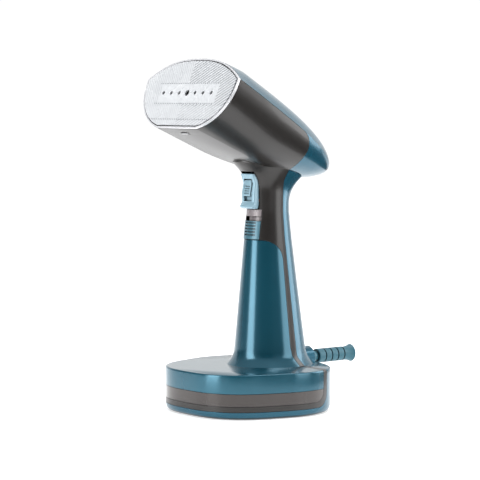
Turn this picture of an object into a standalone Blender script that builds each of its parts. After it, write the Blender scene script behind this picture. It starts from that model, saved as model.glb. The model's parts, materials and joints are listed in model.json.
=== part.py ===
"""Handheld garment steamer, standing on its own base, as an assembly of separate pieces.

Metres, +Z up, front towards -Y, left and right symmetric about X = 0. The origin is on the floor plane.
Outer surfaces come from three lofts (head, handle, base). Shells are cut from them along the same
seam outlines, so that neighbouring pieces always follow each other with a parting gap.
"""
import bmesh
import bpy
from math import cos, pi, radians, sin
from mathutils import Matrix, Vector

# Driving dimensions
GAP = 0.0003  # gap between neighbouring pieces
WALL = 0.0022  # moulded wall thickness
TILT = radians(23.5)  # head axis above the horizontal, nose up
FACE_CENTRE = Vector((0.0, -0.074, 0.273))  # centre of the steam hole row on the face plane
HEAD_LENGTH = 0.1615  # face plane to tail, along the head axis
HEAD_HALF_WIDTH = 0.064
HEAD_TIP_V = -0.004  # height of the tail tip over the head axis
SEAM_CORNER_S = 0.109  # where the tail seam crosses the head
BASE_TOP = 0.038
BASE_HALF_WIDTH = 0.0692
BASE_FRONT = -0.0785
BASE_REAR = 0.0506
BASE_TAPER = 0.24  # how much wider the footprint grows towards the rear
TANK_BOTTOM = 0.0113
TANK_JOIN = 0.0219  # height of the weld between the two tank shells
TANK_TOP = 0.1470
TANK_REAR = 0.0190  # rear face of the tank inside the base
SHOE_TOP = 0.0065
FRAME_REAR = 0.0245  # rear face of the bronze frame in the base
REAR_DECK = 0.0355  # seam between the rear shell and the shoe
LATCH_HALF = 0.0106
LATCH_TOP = 0.1633
PANEL_BOTTOM = 0.1676
PANEL_TOP = 0.1734
TRIGGER_HALF = 0.0086
TRIGGER_BOTTOM = 0.1740
TRIGGER_TOP = 0.2060
HOLE_PITCH = 0.0112
CORD_AXIS_Z = 0.0400
CORD_BALL_Y = 0.0610
COUPLING_Z = 0.0265  # height of the tank outlet

# Colours, roughness and metallic value of each finish
FINISHES = {
    "bronze": ((0.115, 0.105, 0.098), 0.25, 0.7),
    "teal": ((0.045, 0.22, 0.30), 0.22, 0.5),
    "tank_blue": ((0.05, 0.26, 0.36), 0.12, 0.2),
    "tank_bronze": ((0.20, 0.17, 0.16), 0.2, 0.3),
    "ice_blue": ((0.36, 0.55, 0.64), 0.3, 0.2),
    "grip_teal": ((0.06, 0.25, 0.31), 0.5, 0.0),
    "panel_grey": ((0.42, 0.39, 0.40), 0.35, 0.2),
    "face_white": ((0.86, 0.88, 0.90), 0.3, 0.1),
    "silver": ((0.75, 0.75, 0.76), 0.2, 1.0),
    "aluminium": ((0.62, 0.62, 0.63), 0.45, 1.0),
    "steel": ((0.50, 0.50, 0.52), 0.3, 1.0),
    "copper": ((0.60, 0.28, 0.14), 0.35, 1.0),
    "black_plastic": ((0.02, 0.02, 0.022), 0.5, 0.0),
    "silicone": ((0.72, 0.70, 0.66), 0.6, 0.0),
    "rubber": ((0.03, 0.03, 0.03), 0.8, 0.0),
    "board_green": ((0.02, 0.16, 0.07), 0.5, 0.0),
    "lens": ((0.85, 0.25, 0.1), 0.15, 0.0),
    "mica": ((0.55, 0.47, 0.33), 0.6, 0.0),
    "wire_brown": ((0.16, 0.06, 0.03), 0.5, 0.0),
    "wire_blue": ((0.03, 0.07, 0.35), 0.5, 0.0),
}


# Scene and collections
for old in list(bpy.data.objects):
    bpy.data.objects.remove(old, do_unlink=True)
PARTS = bpy.data.collections.new("handheld_steamer")
CUTTERS = bpy.data.collections.new("cutters")
CUTTERS.hide_render = True
for collection in (PARTS, CUTTERS):
    bpy.context.scene.collection.children.link(collection)


def material(finish):
    made = bpy.data.materials.get(finish)
    if made is None:
        made = bpy.data.materials.new(finish)
        made.use_nodes = True
        colour, roughness, metallic = FINISHES[finish]
        shader = made.node_tree.nodes["Principled BSDF"]
        shader.inputs["Base Color"].default_value = (*colour, 1.0)
        shader.inputs["Roughness"].default_value = roughness
        shader.inputs["Metallic"].default_value = metallic
    return made


def place(obj, name, finish):
    """Names the object, gives it its own material and files it with the parts."""
    obj.name = name
    obj.data.name = name
    for home in list(obj.users_collection):
        home.objects.unlink(obj)
    PARTS.objects.link(obj)
    own = material(finish).copy()
    own.name = name
    obj.data.materials.clear()
    obj.data.materials.append(own)
    return obj


def guide(obj):
    """Files the object with the cutters, out of the render."""
    for home in list(obj.users_collection):
        home.objects.unlink(obj)
    CUTTERS.objects.link(obj)
    obj.hide_render = True
    obj.display_type = "WIRE"
    return obj


def from_bmesh(bm, name):
    bmesh.ops.recalc_face_normals(bm, faces=bm.faces)
    mesh = bpy.data.meshes.new(name)
    bm.to_mesh(mesh)
    bm.free()
    obj = bpy.data.objects.new(name, mesh)
    CUTTERS.objects.link(obj)
    return obj


def loft(name, rings):
    """A closed solid through rings with equal point counts, with flat ends."""
    bm = bmesh.new()
    rows = [[bm.verts.new(point) for point in ring] for ring in rings]
    count = len(rings[0])
    for lower, upper in zip(rows, rows[1:]):
        for i in range(count):
            j = (i + 1) % count
            bm.faces.new((lower[i], lower[j], upper[j], upper[i]))
    bm.faces.new(rows[0])
    bm.faces.new(rows[-1])
    return from_bmesh(bm, name)


def prism(name, outline, half_width, lift=lambda y, z: (y, z)):
    """A flat outline in the side plane, extruded evenly to both sides of X = 0."""
    bm = bmesh.new()
    corners = [bm.verts.new((-half_width, *lift(y, z))) for y, z in outline]
    face = bm.faces.new(corners)
    grown = bmesh.ops.extrude_face_region(bm, geom=[face])["geom"]
    moved = [item for item in grown if isinstance(item, bmesh.types.BMVert)]
    bmesh.ops.translate(bm, verts=moved, vec=(2 * half_width, 0, 0))
    return from_bmesh(bm, name)


def box_cutter(low, high):
    bm = bmesh.new()
    bmesh.ops.create_cube(bm, size=1.0)
    low, high = Vector(low), Vector(high)
    bmesh.ops.scale(bm, vec=high - low, verts=bm.verts)
    bmesh.ops.translate(bm, vec=(low + high) / 2, verts=bm.verts)
    return from_bmesh(bm, "box")


def rod_cutter(start, end, radius, end_radius=None, sides=20):
    """A cylinder or cone between two points."""
    start, end = Vector(start), Vector(end)
    bm = bmesh.new()
    far = radius if end_radius is None else end_radius
    bmesh.ops.create_cone(
        bm, cap_ends=True, segments=sides, radius1=radius, radius2=far, depth=(end - start).length
    )
    turn = Vector((0, 0, 1)).rotation_difference(end - start).to_matrix().to_4x4()
    bmesh.ops.transform(bm, matrix=Matrix.Translation((start + end) / 2) @ turn, verts=bm.verts)
    return from_bmesh(bm, "rod")


def combine(obj, other, operation):
    """Applies one Boolean and files the other object with the cutters."""
    step = obj.modifiers.new("cut", "BOOLEAN")
    step.operation = operation
    step.object = guide(other)
    return obj


def cut(obj, *others):
    for other in others:
        combine(obj, other, "DIFFERENCE")
    return obj


def join(obj, *others):
    for other in others:
        combine(obj, other, "UNION")
    return obj


def keep(obj, *others):
    for other in others:
        combine(obj, other, "INTERSECT")
    return obj


def bake(obj):
    """Makes the evaluated shape the object's own mesh, and clears its modifiers and helpers."""
    bpy.context.view_layer.update()
    graph = bpy.context.evaluated_depsgraph_get()
    mesh = bpy.data.meshes.new_from_object(obj.evaluated_get(graph))
    helpers = [step.object for step in obj.modifiers if step.type == "BOOLEAN"]
    obj.modifiers.clear()
    obj.data = mesh
    for helper in helpers:
        if helper.users <= 1 + len(helper.users_collection):
            bpy.data.objects.remove(helper, do_unlink=True)
    return obj


def soften(obj, width, segments=1, angle=radians(35)):
    """Rounded edges."""
    edge = obj.modifiers.new("edges", "BEVEL")
    edge.width = width
    edge.segments = segments
    edge.limit_method = "ANGLE"
    edge.angle_limit = angle
    return obj


def smooth(obj, angle=radians(40)):
    obj.data.shade_smooth()
    obj.data.set_sharp_from_angle(angle=angle)
    return obj


# The head: sections across a tilted axis, from the face (s = 0) to the tail
def head_point(u, s, v):
    y = FACE_CENTRE.y + s * cos(TILT) + v * sin(TILT)
    z = FACE_CENTRE.z - s * sin(TILT) + v * cos(TILT)
    return Vector((u, y, z))


def rounding(s):
    """How far the section has closed in towards the tail, 1 on the body and 0 at the tip."""
    share = min(max(s / HEAD_LENGTH, 0.0), 1.0)
    return max(1 - share**4.2, 0.0) ** 0.4545


def head_section(s, inset=0.0, top_points=7, side_points=8):
    """Half outline (u, v) from the crown over the corner to the keel."""
    r = rounding(s + inset)
    width = (HEAD_HALF_WIDTH - 0.18 * s) * r - inset
    crown = HEAD_TIP_V + (0.0358 - 0.080 * s) * r - inset
    corner = HEAD_TIP_V + (0.017 - 0.06 * s) * r - inset * 0.3
    keel = HEAD_TIP_V - 0.028 * r**1.7 + inset
    narrowing = min(max((s - 0.055) / 0.075, 0.0), 1.0)
    flat = 0.027 * (1 - narrowing**1.3) * r
    fullness = 2.6 + 1.5 * min(max(s, 0.0) / 0.016, 1.0)
    half = []
    for i in range(top_points):
        share = i / (top_points - 1)
        half.append((width * share, crown - (crown - corner) * share**fullness))
    shoulder = corner - 0.004 * r
    depth = shoulder - keel
    extra = 0.0012 * (1 - narrowing)
    reach = (1 - (depth / (depth + extra)) ** 2) ** 0.5 if extra else 0.0
    middle = (flat - reach * width) / (1 - reach)
    for i in range(side_points):
        angle = i / (side_points - 1) * pi / 2
        drop = depth * sin(angle)
        half.append((middle + (width - middle) * (1 - (drop / (depth + extra)) ** 2) ** 0.5, shoulder - drop))
    return half


def head_ring(s, inset=0.0):
    half = head_section(s, inset)
    left = [(-u, v) for u, v in reversed(half[1:])]
    return [head_point(u, s, v) for u, v in half + left]


HEAD_STATIONS = (0.0, 0.008, 0.017, 0.056, 0.082, 0.103, 0.120, 0.134, 0.1465, 0.155, 0.1605)


def head_solid(inset=0.0, start=0.0, end=None):
    stations = [start] + [s for s in HEAD_STATIONS if s > start + 0.001]
    if end is not None:
        stations = [s for s in stations if s < end - 0.001] + [end]
    elif inset:
        stations = [s for s in stations if s < HEAD_LENGTH - inset - 0.0045] + [HEAD_LENGTH - inset - 0.0015]
    return loft("head", [head_ring(s, inset) for s in stations])


# The handle: level sections, wider at the foot, flared where it meets the head and the base
def handle_axis(z):
    return 0.011 + 0.024 * max(0.150 - z, 0.0)


def handle_radius(z):
    drop = max(0.170 - z, 0.0)
    return 0.0185 + 0.1014 * drop + 0.0546 * drop**2


def flare(z, level, depth, amount):
    """Extra reach that grows towards a neighbouring surface."""
    return amount * (max(depth - abs(level - z), 0.0) / depth) ** 2


def handle_ring(z, inset=0.0, points=28):
    radius = handle_radius(z)
    foot = flare(z, BASE_TOP, 0.012, 0.0055) if z >= BASE_TOP else 0.0055
    neck_front = 0.012 * (max(z - 0.192, 0.0) / 0.020) ** 2
    neck_rear = 0.0100 * (max(z - 0.178, 0.0) / 0.018) ** 2
    neck_side = 0.0050 * (max(z - 0.188, 0.0) / 0.020) ** 2
    ring = []
    for i in range(points):
        angle = 2 * pi * i / points
        across = radius * 0.95 + foot + min(neck_side, 0.009) - inset
        along = radius * 1.03 + foot - inset
        along += min(neck_rear, 0.020) if sin(angle) > 0 else min(neck_front, 0.014)
        ring.append(Vector((across * cos(angle), handle_axis(z) + along * sin(angle), z)))
    return ring


HANDLE_STATIONS = (0.030, 0.038, 0.041, 0.045, 0.050, 0.070, 0.095, 0.120, 0.145, 0.168, 0.180, 0.188,
                   0.194, 0.200, 0.206, 0.212, 0.217)


def handle_solid(inset=0.0, bottom=0.030, top=0.217):
    stations = [bottom] + [z for z in HANDLE_STATIONS if bottom + 0.001 < z < top - 0.001] + [top]
    return loft("handle", [handle_ring(z, inset) for z in stations])


# The base: a rounded footprint, blunter at the front
def base_half_width(share, inset=0.0):
    """Half width at a share of the half length, -1 at the front and 1 at the rear."""
    bluntness = 3.95 if share < 0 else 1.57
    closing = max(1 - abs(share) ** bluntness, 0.0) ** 0.355
    return (BASE_HALF_WIDTH - inset) * (1 + BASE_TAPER * share) * closing


def base_ring(z, inset=0.0, steps=22):
    middle = (BASE_FRONT + BASE_REAR) / 2
    reach = (BASE_REAR - BASE_FRONT) / 2 - inset
    shares = [sin(pi / 2 * (2 * (i + 0.5) / steps - 1)) for i in range(steps)]
    right = [Vector((base_half_width(t, inset), middle + reach * t, z)) for t in shares]
    left = [Vector((-point.x, point.y, z)) for point in reversed(right)]
    return right + left


def base_solid(inset=0.0, bottom=0.0, top=BASE_TOP):
    if inset:
        return loft("base", [base_ring(bottom, inset), base_ring(top, inset)])
    edge = ((0.0, 0.0045), (0.0010, 0.0022), (0.0030, 0.0008), (0.0060, 0.0002), (0.0372, 0.0), (0.0380, 0.0008))
    return loft("base", [base_ring(z, turn) for z, turn in edge])


# Seam outlines in the side plane (y, z)
def arc(centre, radius, start, end, steps=6):
    turns = [start + (end - start) * i / steps for i in range(steps + 1)]
    return [(centre[0] + radius * cos(radians(t)), centre[1] + radius * sin(radians(t))) for t in turns]


def side_of_head(s, v):
    point = head_point(0, s, v)
    return (point.y, point.z)


def tank_outline(grow):
    """Outline of the removable tank, in the foot and up the front of the handle."""
    rear = [(handle_axis(z) - 0.0005 + grow, z) for z in (0.055, 0.095, 0.128)]
    turn = 0.0100 + grow
    crown = arc((rear[-1][0] - 0.0180 - grow, TANK_TOP - 0.0180), 0.0180 + grow, 0, 90)
    return (
        [(-0.110, TANK_BOTTOM - grow)]
        + arc((TANK_REAR - 0.010, TANK_BOTTOM + 0.010), turn, -90, 0)
        + [(TANK_REAR + grow, 0.036), (0.0145 + grow, 0.046)]
        + rear
        + crown
        + [(-0.110, TANK_TOP + grow)]
    )


def frame_outline(grow):
    """Outline of everything inside the bronze frame: foot frame, handle front and head underside."""
    rear = [(handle_axis(z) + 0.003 + 0.03 * (0.150 - z) + grow, z) for z in (0.055, 0.100, 0.150)]
    head = []
    for degrees in (0, 18, 36, 54, 72, 90):
        s = SEAM_CORNER_S - 0.014 + (0.014 + grow) * cos(radians(degrees))
        v = -0.0075 + (0.014 + grow) * sin(radians(degrees))
        head.append(side_of_head(s, v))
    head[-1] = side_of_head(SEAM_CORNER_S - 0.014, seam_height(SEAM_CORNER_S - 0.014) + grow)
    return (
        [(-0.140, SHOE_TOP - grow)]
        + arc((FRAME_REAR - 0.0125, SHOE_TOP + 0.0125), 0.0125 + grow, -90, 0)
        + [(FRAME_REAR + grow, 0.036), (0.0195 + grow, 0.046)]
        + rear
        + [(0.0140 + grow, 0.1700), (0.0140 + grow, 0.1985), side_of_head(SEAM_CORNER_S + grow, -0.020)]
        + head
        + [side_of_head(-0.010, seam_height(-0.010) + grow), (-0.140, 0.300)]
    )


def seam_height(s):
    """Height of the bronze and blue seam over the head axis."""
    return 0.0130 - 0.066 * s


SCREW_PLACES = ((-0.026, 0.034), (0.026, 0.034))
FOOT_PLACES = ((-0.040, -0.050), (0.040, -0.050), (-0.044, 0.018), (0.044, 0.018))
SIDE = 0.080  # half width of the seam prisms, wider than the object
LIMIT = 0.00015  # half the parting gap


def frame_prism(grow):
    return prism("frame_zone", frame_outline(grow), SIDE)


def tank_prism(grow):
    return prism("tank_zone", tank_outline(grow), SIDE)


def cavity_behind_tank():
    """Channel up the rear of the handle, closed off from the tank by a bulkhead, open into the head."""
    channel = handle_solid(inset=WALL, bottom=0.0445, top=0.2155)
    wall = 0.0025
    outline = [(handle_axis(z) + wall, z) for z in (0.040, 0.055, 0.095, 0.130)]
    outline += [(handle_axis(0.148) + wall, TANK_TOP + 0.0010), (-0.045, TANK_TOP + 0.0010)]
    outline += [(-0.045, 0.230), (0.075, 0.230), (0.075, 0.040)]
    return keep(channel, prism("channel", outline, SIDE))


def front_opening(low, high, half):
    """Cutter for the opening in the front wall of the handle."""
    return box_cutter((-half, -0.045, low), (half, handle_axis(low) - 0.0115, high))


# Outer casings
def make_main_housing():
    """Bronze housing: head sides and underside, handle sides, bulkhead and the frame in the base."""
    body = join(head_solid(start=0.0003), handle_solid(), base_solid())
    keep(body, frame_prism(-LIMIT))
    cut(body, tank_prism(LIMIT), bake(cavity_behind_tank()), head_solid(inset=WALL, start=-0.004))
    cut(body, front_opening(TANK_TOP - 0.0010, TRIGGER_BOTTOM - GAP, LATCH_HALF + GAP))
    cut(body, front_opening(TRIGGER_BOTTOM - 0.0010, TRIGGER_TOP + GAP, TRIGGER_HALF + 0.0004))
    cut(body, rod_cutter((-0.0110, PIN_Y, PIN_Z), (0.0110, PIN_Y, PIN_Z), 0.0014, sides=14))
    cut(body, rod_cutter((0, 0.010, COUPLING_Z), (0, 0.030, COUPLING_Z), 0.0068))
    cut(body, bake(catch_slot()))
    return place(smooth(bake(body)), "main_housing", "bronze")


def catch_slot():
    """Slot in the head underside for an accessory catch."""
    low, high = side_of_head(0.0075, -0.036), side_of_head(0.0115, -0.028)
    slot = box_cutter((-0.0050, -0.0020, -0.004), (0.0050, 0.0020, 0.004))
    slot.data.transform(Matrix.Rotation(-TILT, 4, "X"))
    slot.data.transform(Matrix.Translation((0, (low[0] + high[0]) / 2, (low[1] + high[1]) / 2)))
    return slot


def make_catch_pin():
    pin = rod_cutter((-0.0044, 0, 0), (0.0044, 0, 0), 0.0012, sides=10)
    low, high = side_of_head(0.0075, -0.036), side_of_head(0.0115, -0.028)
    pin.data.transform(Matrix.Translation((0, (low[0] + high[0]) / 2, (low[1] + high[1]) / 2 + 0.0004)))
    return place(smooth(pin), "catch_pin", "silver")


def make_top_cover():
    """Blue cover over the head, running round the tail."""
    cover = head_solid(start=0.0003)
    cut(cover, frame_prism(LIMIT), head_solid(inset=WALL, start=-0.004))
    return place(smooth(bake(cover)), "top_cover", "teal")


def make_rear_shell():
    """Blue spine of the handle with the deck at the rear of the base and the cord boss."""
    shell = join(handle_solid(), base_solid())
    join(shell, rod_cutter((0, 0.032, CORD_AXIS_Z), (0, 0.0570, CORD_AXIS_Z), 0.0100))
    cut(shell, frame_prism(LIMIT))
    cut(shell, box_cutter((-SIDE, -0.100, -0.010), (SIDE, 0.100, REAR_DECK + LIMIT)))
    grown = head_solid(inset=-GAP, start=-0.002, end=HEAD_LENGTH - 0.003)
    cut(shell, grown, handle_solid(inset=WALL, bottom=0.030, top=0.2155))
    cut(shell, rod_cutter((0, 0.030, CORD_AXIS_Z), (0, 0.0560, CORD_AXIS_Z), 0.0078))
    cut(shell, rod_cutter((0, 0.050, CORD_AXIS_Z), (0, 0.0600, CORD_AXIS_Z), 0.0062))
    cut(shell, rod_cutter((0, 0.010, 0.166), (0, 0.040, 0.166), 0.0062))
    cut(shell, rod_cutter((0, 0.010, 0.178), (0, 0.045, 0.178), 0.0018, sides=12))
    return place(smooth(bake(shell)), "rear_shell", "teal")


def make_base_shoe():
    """Blue shoe: floor of the base, rim under the frame and wall round the rear."""
    shoe = base_solid()
    cut(shoe, frame_prism(LIMIT))
    cut(shoe, box_cutter((-SIDE, -0.100, REAR_DECK - LIMIT), (SIDE, 0.100, 0.060)))
    cut(shoe, base_solid(inset=0.0045, bottom=0.0025, top=0.050))
    cut(shoe, rod_cutter((0, 0.030, CORD_AXIS_Z), (0, 0.0640, CORD_AXIS_Z), 0.0103))
    cut(shoe, *[rod_cutter((x, y, -0.002), (x, y, 0.0013), 0.0043, sides=16) for x, y in FOOT_PLACES])
    cut(shoe, *[rod_cutter((x, y, -0.002), (x, y, 0.0017), 0.0034, sides=16) for x, y in SCREW_PLACES])
    return place(smooth(bake(shoe)), "base_shoe", "teal")


# The tank
def tank_cavity():
    room = join(handle_solid(inset=0.0020, bottom=0.030, top=0.160),
                base_solid(inset=0.0020, bottom=0.0122, top=0.0358))
    return keep(room, tank_prism(-0.0021))


def make_tank_upper():
    """Translucent blue top of the tank: front of the handle and top of the base."""
    shell = keep(join(handle_solid(), base_solid()), tank_prism(-LIMIT))
    cut(shell, box_cutter((-SIDE, -0.100, -0.010), (SIDE, 0.100, TANK_JOIN + LIMIT)))
    cut(shell, bake(tank_cavity()))
    cut(shell, rod_cutter((0.030, 0.010, 0.029), (0.030, 0.030, 0.029), 0.0054))
    cut(shell, rod_cutter((0, 0.010, COUPLING_Z), (0, 0.030, COUPLING_Z), 0.0034))
    cut(shell, box_cutter((-0.0045, -0.0079, 0.1440), (0.0045, -0.0043, 0.1500)))
    return place(smooth(bake(shell)), "tank_upper_shell", "tank_blue")


def make_tank_lower():
    """Smoky bronze floor tray of the tank."""
    tray = keep(base_solid(), tank_prism(-LIMIT))
    cut(tray, box_cutter((-SIDE, -0.100, TANK_JOIN - LIMIT), (SIDE, 0.100, 0.060)))
    cut(tray, bake(tank_cavity()))
    return place(smooth(bake(tray)), "tank_lower_shell", "tank_bronze")


# Steam plate, bezel and heater
def ring_solid(name, start, end, outer, inner):
    """A flat ring that follows the outline of the head."""
    body = loft(name, [head_ring_at(start, outer), head_ring_at(end, outer)])
    hole = loft(name, [head_ring_at(start - 0.004, inner), head_ring_at(end + 0.004, inner)])
    return cut(body, hole)


def head_ring_at(s, inset):
    """Outline of the face carried along the head axis without taper."""
    half = head_section(0.0, inset)
    left = [(-u, v) for u, v in reversed(half[1:])]
    return [head_point(u, s, v) for u, v in half + left]


def face_plate_solid(start, end, inset):
    return loft("plate", [head_ring_at(start, inset), head_ring_at(end, inset)])


def steam_holes(start, end, radius, centre_radius, sides=12):
    holes = []
    for i in range(-3, 4):
        size = centre_radius if i == 0 else radius
        across = i * HOLE_PITCH
        holes.append(rod_cutter(head_point(across, start, 0), head_point(across, end, 0), size, sides=sides))
    return holes


def make_bezel():
    """Bright ring round the steam plate: a lip, a web behind the plate and a sleeve inside the casings."""
    lip = bake(ring_solid("lip", -0.0020, 0.0, 0.0002, 0.0015))
    web = bake(ring_solid("web", -0.0008, 0.0, 0.0003, 0.0038))
    sleeve = bake(ring_solid("sleeve", -0.0004, 0.0016, 0.0027, 0.0038))
    return place(smooth(bake(join(lip, web, sleeve))), "bezel_ring", "silver")


def make_face_plate():
    plate = face_plate_solid(-0.0026, -0.0011, 0.0025)
    cut(plate, *steam_holes(-0.006, 0.004, 0.0018, 0.0028))
    return place(smooth(bake(soften(bake(plate), 0.0004))), "steam_plate", "face_white")


def make_face_gasket():
    ring = ring_solid("gasket", -0.0008, 0.0026, 0.0041, 0.0085)
    return place(smooth(bake(ring)), "plate_gasket", "silicone")


def make_steam_chamber():
    """Cast steam chamber, open at the rear under its cover, with the steam holes in its front wall."""
    chamber = face_plate_solid(0.0029, 0.0260, 0.0100)
    pocket = face_plate_solid(0.0060, 0.0300, 0.0135)
    cut(chamber, pocket, *steam_holes(0.000, 0.010, 0.0016, 0.0024))
    join(chamber, *[
        rod_cutter(head_point(u, 0.0050, 0.012), head_point(u, 0.0200, 0.012), 0.0022, sides=10)
        for u in (-0.030, 0.030)
    ])
    return place(smooth(bake(chamber)), "steam_chamber", "aluminium")


def make_chamber_cover():
    cover = face_plate_solid(0.0263, 0.0288, 0.0105)
    join(cover, rod_cutter(head_point(0.020, 0.0275, -0.006), head_point(0.020, 0.0400, -0.006), 0.0030, sides=14))
    cut(cover, rod_cutter(head_point(0.020, 0.0200, -0.006), head_point(0.020, 0.0450, -0.006), 0.0016, sides=12))
    return place(smooth(bake(cover)), "chamber_cover", "aluminium")


def tube(name, points, radius, finish, smoothing=True, resolution=2):
    """A wire or hose through its points, with capped ends."""
    data = bpy.data.curves.new(name, "CURVE")
    data.dimensions = "3D"
    data.bevel_depth = radius
    data.bevel_resolution = resolution
    data.use_fill_caps = True
    route = smooth_route(points) if smoothing else [Vector(p) for p in points]
    spline = data.splines.new("POLY")
    spline.points.add(len(route) - 1)
    for knot, point in zip(spline.points, route):
        knot.co = (*point, 1.0)
    obj = bpy.data.objects.new(name, data)
    CUTTERS.objects.link(obj)
    return place(obj, name, finish)


def smooth_route(points, steps=4):
    """Catmull-Rom curve through the points."""
    knots = [Vector(p) for p in points]
    knots = [2 * knots[0] - knots[1]] + knots + [2 * knots[-1] - knots[-2]]
    route = []
    for a, b, c, d in zip(knots, knots[1:], knots[2:], knots[3:]):
        for i in range(steps):
            t = i / steps
            route.append(
                0.5 * (2 * b + (c - a) * t + (2 * a - 5 * b + 4 * c - d) * t**2 + (3 * b - a - 3 * c + d) * t**3)
            )
    return route + [knots[-2]]


def make_heating_element():
    """U-shaped tubular element on the back of the chamber, its ends turned to the rear."""
    s = 0.0329
    half = [(-0.008, 0.056, -0.012), (-0.008, 0.038, -0.012), (-0.012, s, -0.013), (-0.026, s, -0.014),
            (-0.0345, s, -0.010), (-0.0370, s, 0.000), (-0.0330, s, 0.009), (-0.022, s, 0.0130), (0.0, s, 0.0135)]
    loop = half + [(-u, level, v) for u, level, v in reversed(half[:-1])]
    return tube("heating_element", [head_point(*p) for p in loop], 0.0031, "steel", resolution=2)


def make_thermostat():
    body = rod_cutter(head_point(0, 0.0292, 0.0005), head_point(0, 0.0360, 0.0005), 0.0075, sides=20)
    join(body, rod_cutter(head_point(0, 0.0350, 0.0005), head_point(0, 0.0385, 0.0005), 0.0055, sides=16))
    return place(smooth(bake(body)), "thermostat", "black_plastic")


def make_thermal_fuse():
    start, end = head_point(-0.024, 0.0312, -0.002), head_point(-0.012, 0.0312, -0.002)
    body = rod_cutter(start, end, 0.0018, sides=12)
    return place(smooth(body), "thermal_fuse", "face_white")


def make_heat_shield():
    """Mica board that keeps the heat of the chamber from the pump and casings."""
    half = head_section(0.048, WALL + 0.0020)
    ring = half + [(-u, v) for u, v in reversed(half[1:])]
    inner = [(u * 0.97, v * 0.97) for u, v in ring]
    board = loft("board", [[head_point(u, s, v) for u, v in inner] for s in (0.0480, 0.0492)])
    for u in (-0.008, 0.008):
        cut(board, rod_cutter(head_point(u, 0.040, -0.012), head_point(u, 0.055, -0.012), 0.0042, sides=14))
    cut(board, rod_cutter(head_point(0.020, 0.040, -0.006), head_point(0.020, 0.055, -0.006), 0.0040, sides=14))
    return place(smooth(bake(board)), "heat_shield", "mica")


# Pump
PUMP_V = 0.0005
PUMP_START = 0.0700
PUMP_END = 0.1080


def pump_rod(start, end, radius, sides=20, u=0.0):
    return rod_cutter(head_point(u, start, PUMP_V), head_point(u, end, PUMP_V), radius, sides=sides)


def make_pump_body():
    """Pump tube with an outlet nozzle in front and an inlet nozzle behind, bored through."""
    body = pump_rod(PUMP_START, PUMP_END, 0.0058)
    join(body, pump_rod(PUMP_START - 0.008, PUMP_START + 0.004, 0.0026, sides=14))
    join(body, pump_rod(PUMP_END - 0.004, PUMP_END + 0.008, 0.0026, sides=14))
    cut(body, pump_rod(PUMP_START + 0.006, PUMP_END - 0.003, 0.0040, sides=16))
    cut(body, pump_rod(PUMP_START - 0.012, PUMP_END + 0.012, 0.0014, sides=10))
    return place(smooth(bake(body)), "pump_body", "black_plastic")


def make_pump_piston():
    piston = pump_rod(PUMP_START + 0.011, PUMP_END - 0.009, 0.0038, sides=16)
    cut(piston, pump_rod(PUMP_START, PUMP_END, 0.0012, sides=8))
    return place(smooth(bake(piston)), "pump_piston", "steel")


def head_box(name, low, high):
    """A box in the head's own directions (u, s, v)."""
    rings = []
    for s in (low[1], high[1]):
        flat = ((low[0], low[2]), (high[0], low[2]), (high[0], high[2]), (low[0], high[2]))
        rings.append([head_point(u, s, v) for u, v in flat])
    return loft(name, rings)


def make_pump_coil():
    coil = pump_rod(PUMP_START + 0.0080, PUMP_END - 0.0080, 0.0098, sides=28)
    cut(coil, pump_rod(PUMP_START, PUMP_END, 0.0061))
    return place(smooth(bake(coil)), "pump_coil", "copper")


def make_pump_frame():
    """Steel yoke round the coil."""
    reach = 0.0122
    low, high = PUMP_START + 0.0052, PUMP_END - 0.0052
    frame = head_box("frame", (-0.0090, low, PUMP_V - reach), (0.0090, high, PUMP_V + reach))
    inner = head_box("frame", (-0.0120, low + 0.0020, PUMP_V - reach + 0.0020),
                     (0.0120, high - 0.0020, PUMP_V + reach - 0.0020))
    cut(frame, inner, pump_rod(PUMP_START, PUMP_END, 0.0061))
    return place(smooth(bake(frame)), "pump_frame", "steel")


# Handle front: latch, panel and trigger
def handle_strip(low, high, half, depth, proud=0.0):
    """A strip of the handle's front wall, depth deep and proud of the wall by the given amount."""
    strip = handle_solid(inset=-proud, bottom=low, top=high)
    cut(strip, handle_solid(inset=depth, bottom=low - 0.004, top=high + 0.004))
    front = handle_axis(low) - 0.0115 - 0.0004
    return keep(strip, box_cutter((-half, -0.060, low - 0.010), (half, front, high + 0.010)))


def make_latch():
    """Ribbed slider that lets go of the tank."""
    latch = bake(handle_strip(TANK_TOP + 0.0007, LATCH_TOP, LATCH_HALF - 0.0002, 0.0026, proud=0.0005))
    ribs = []
    for i in range(5):
        z = TANK_TOP + 0.0038 + 0.0026 * i
        ribs.append(handle_rib(z, 0.0013, 0.0070))
    cut(latch, *ribs)
    hook = box_cutter((-0.0040, -0.0074, TANK_TOP - 0.0022), (0.0040, -0.0048, TANK_TOP + 0.0050))
    web = box_cutter((-0.0036, -0.0094, TANK_TOP + 0.0012), (0.0036, -0.0052, TANK_TOP + 0.0046))
    seat = box_cutter((-0.0030, -0.0078, 0.1503), (0.0030, 0.0030, 0.1516))
    return place(smooth(bake(join(latch, web, hook, seat))), "tank_latch", "teal")


def handle_rib(z, height, half):
    """Cutter for one shallow groove round the handle's front."""
    groove = handle_solid(inset=-0.0030, bottom=z, top=z + height)
    cut(groove, handle_solid(inset=0.0006, bottom=z - 0.004, top=z + height + 0.004))
    keep(groove, box_cutter((-half, -0.060, z - 0.005), (half, 0.0, z + height + 0.005)))
    return bake(groove)


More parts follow.
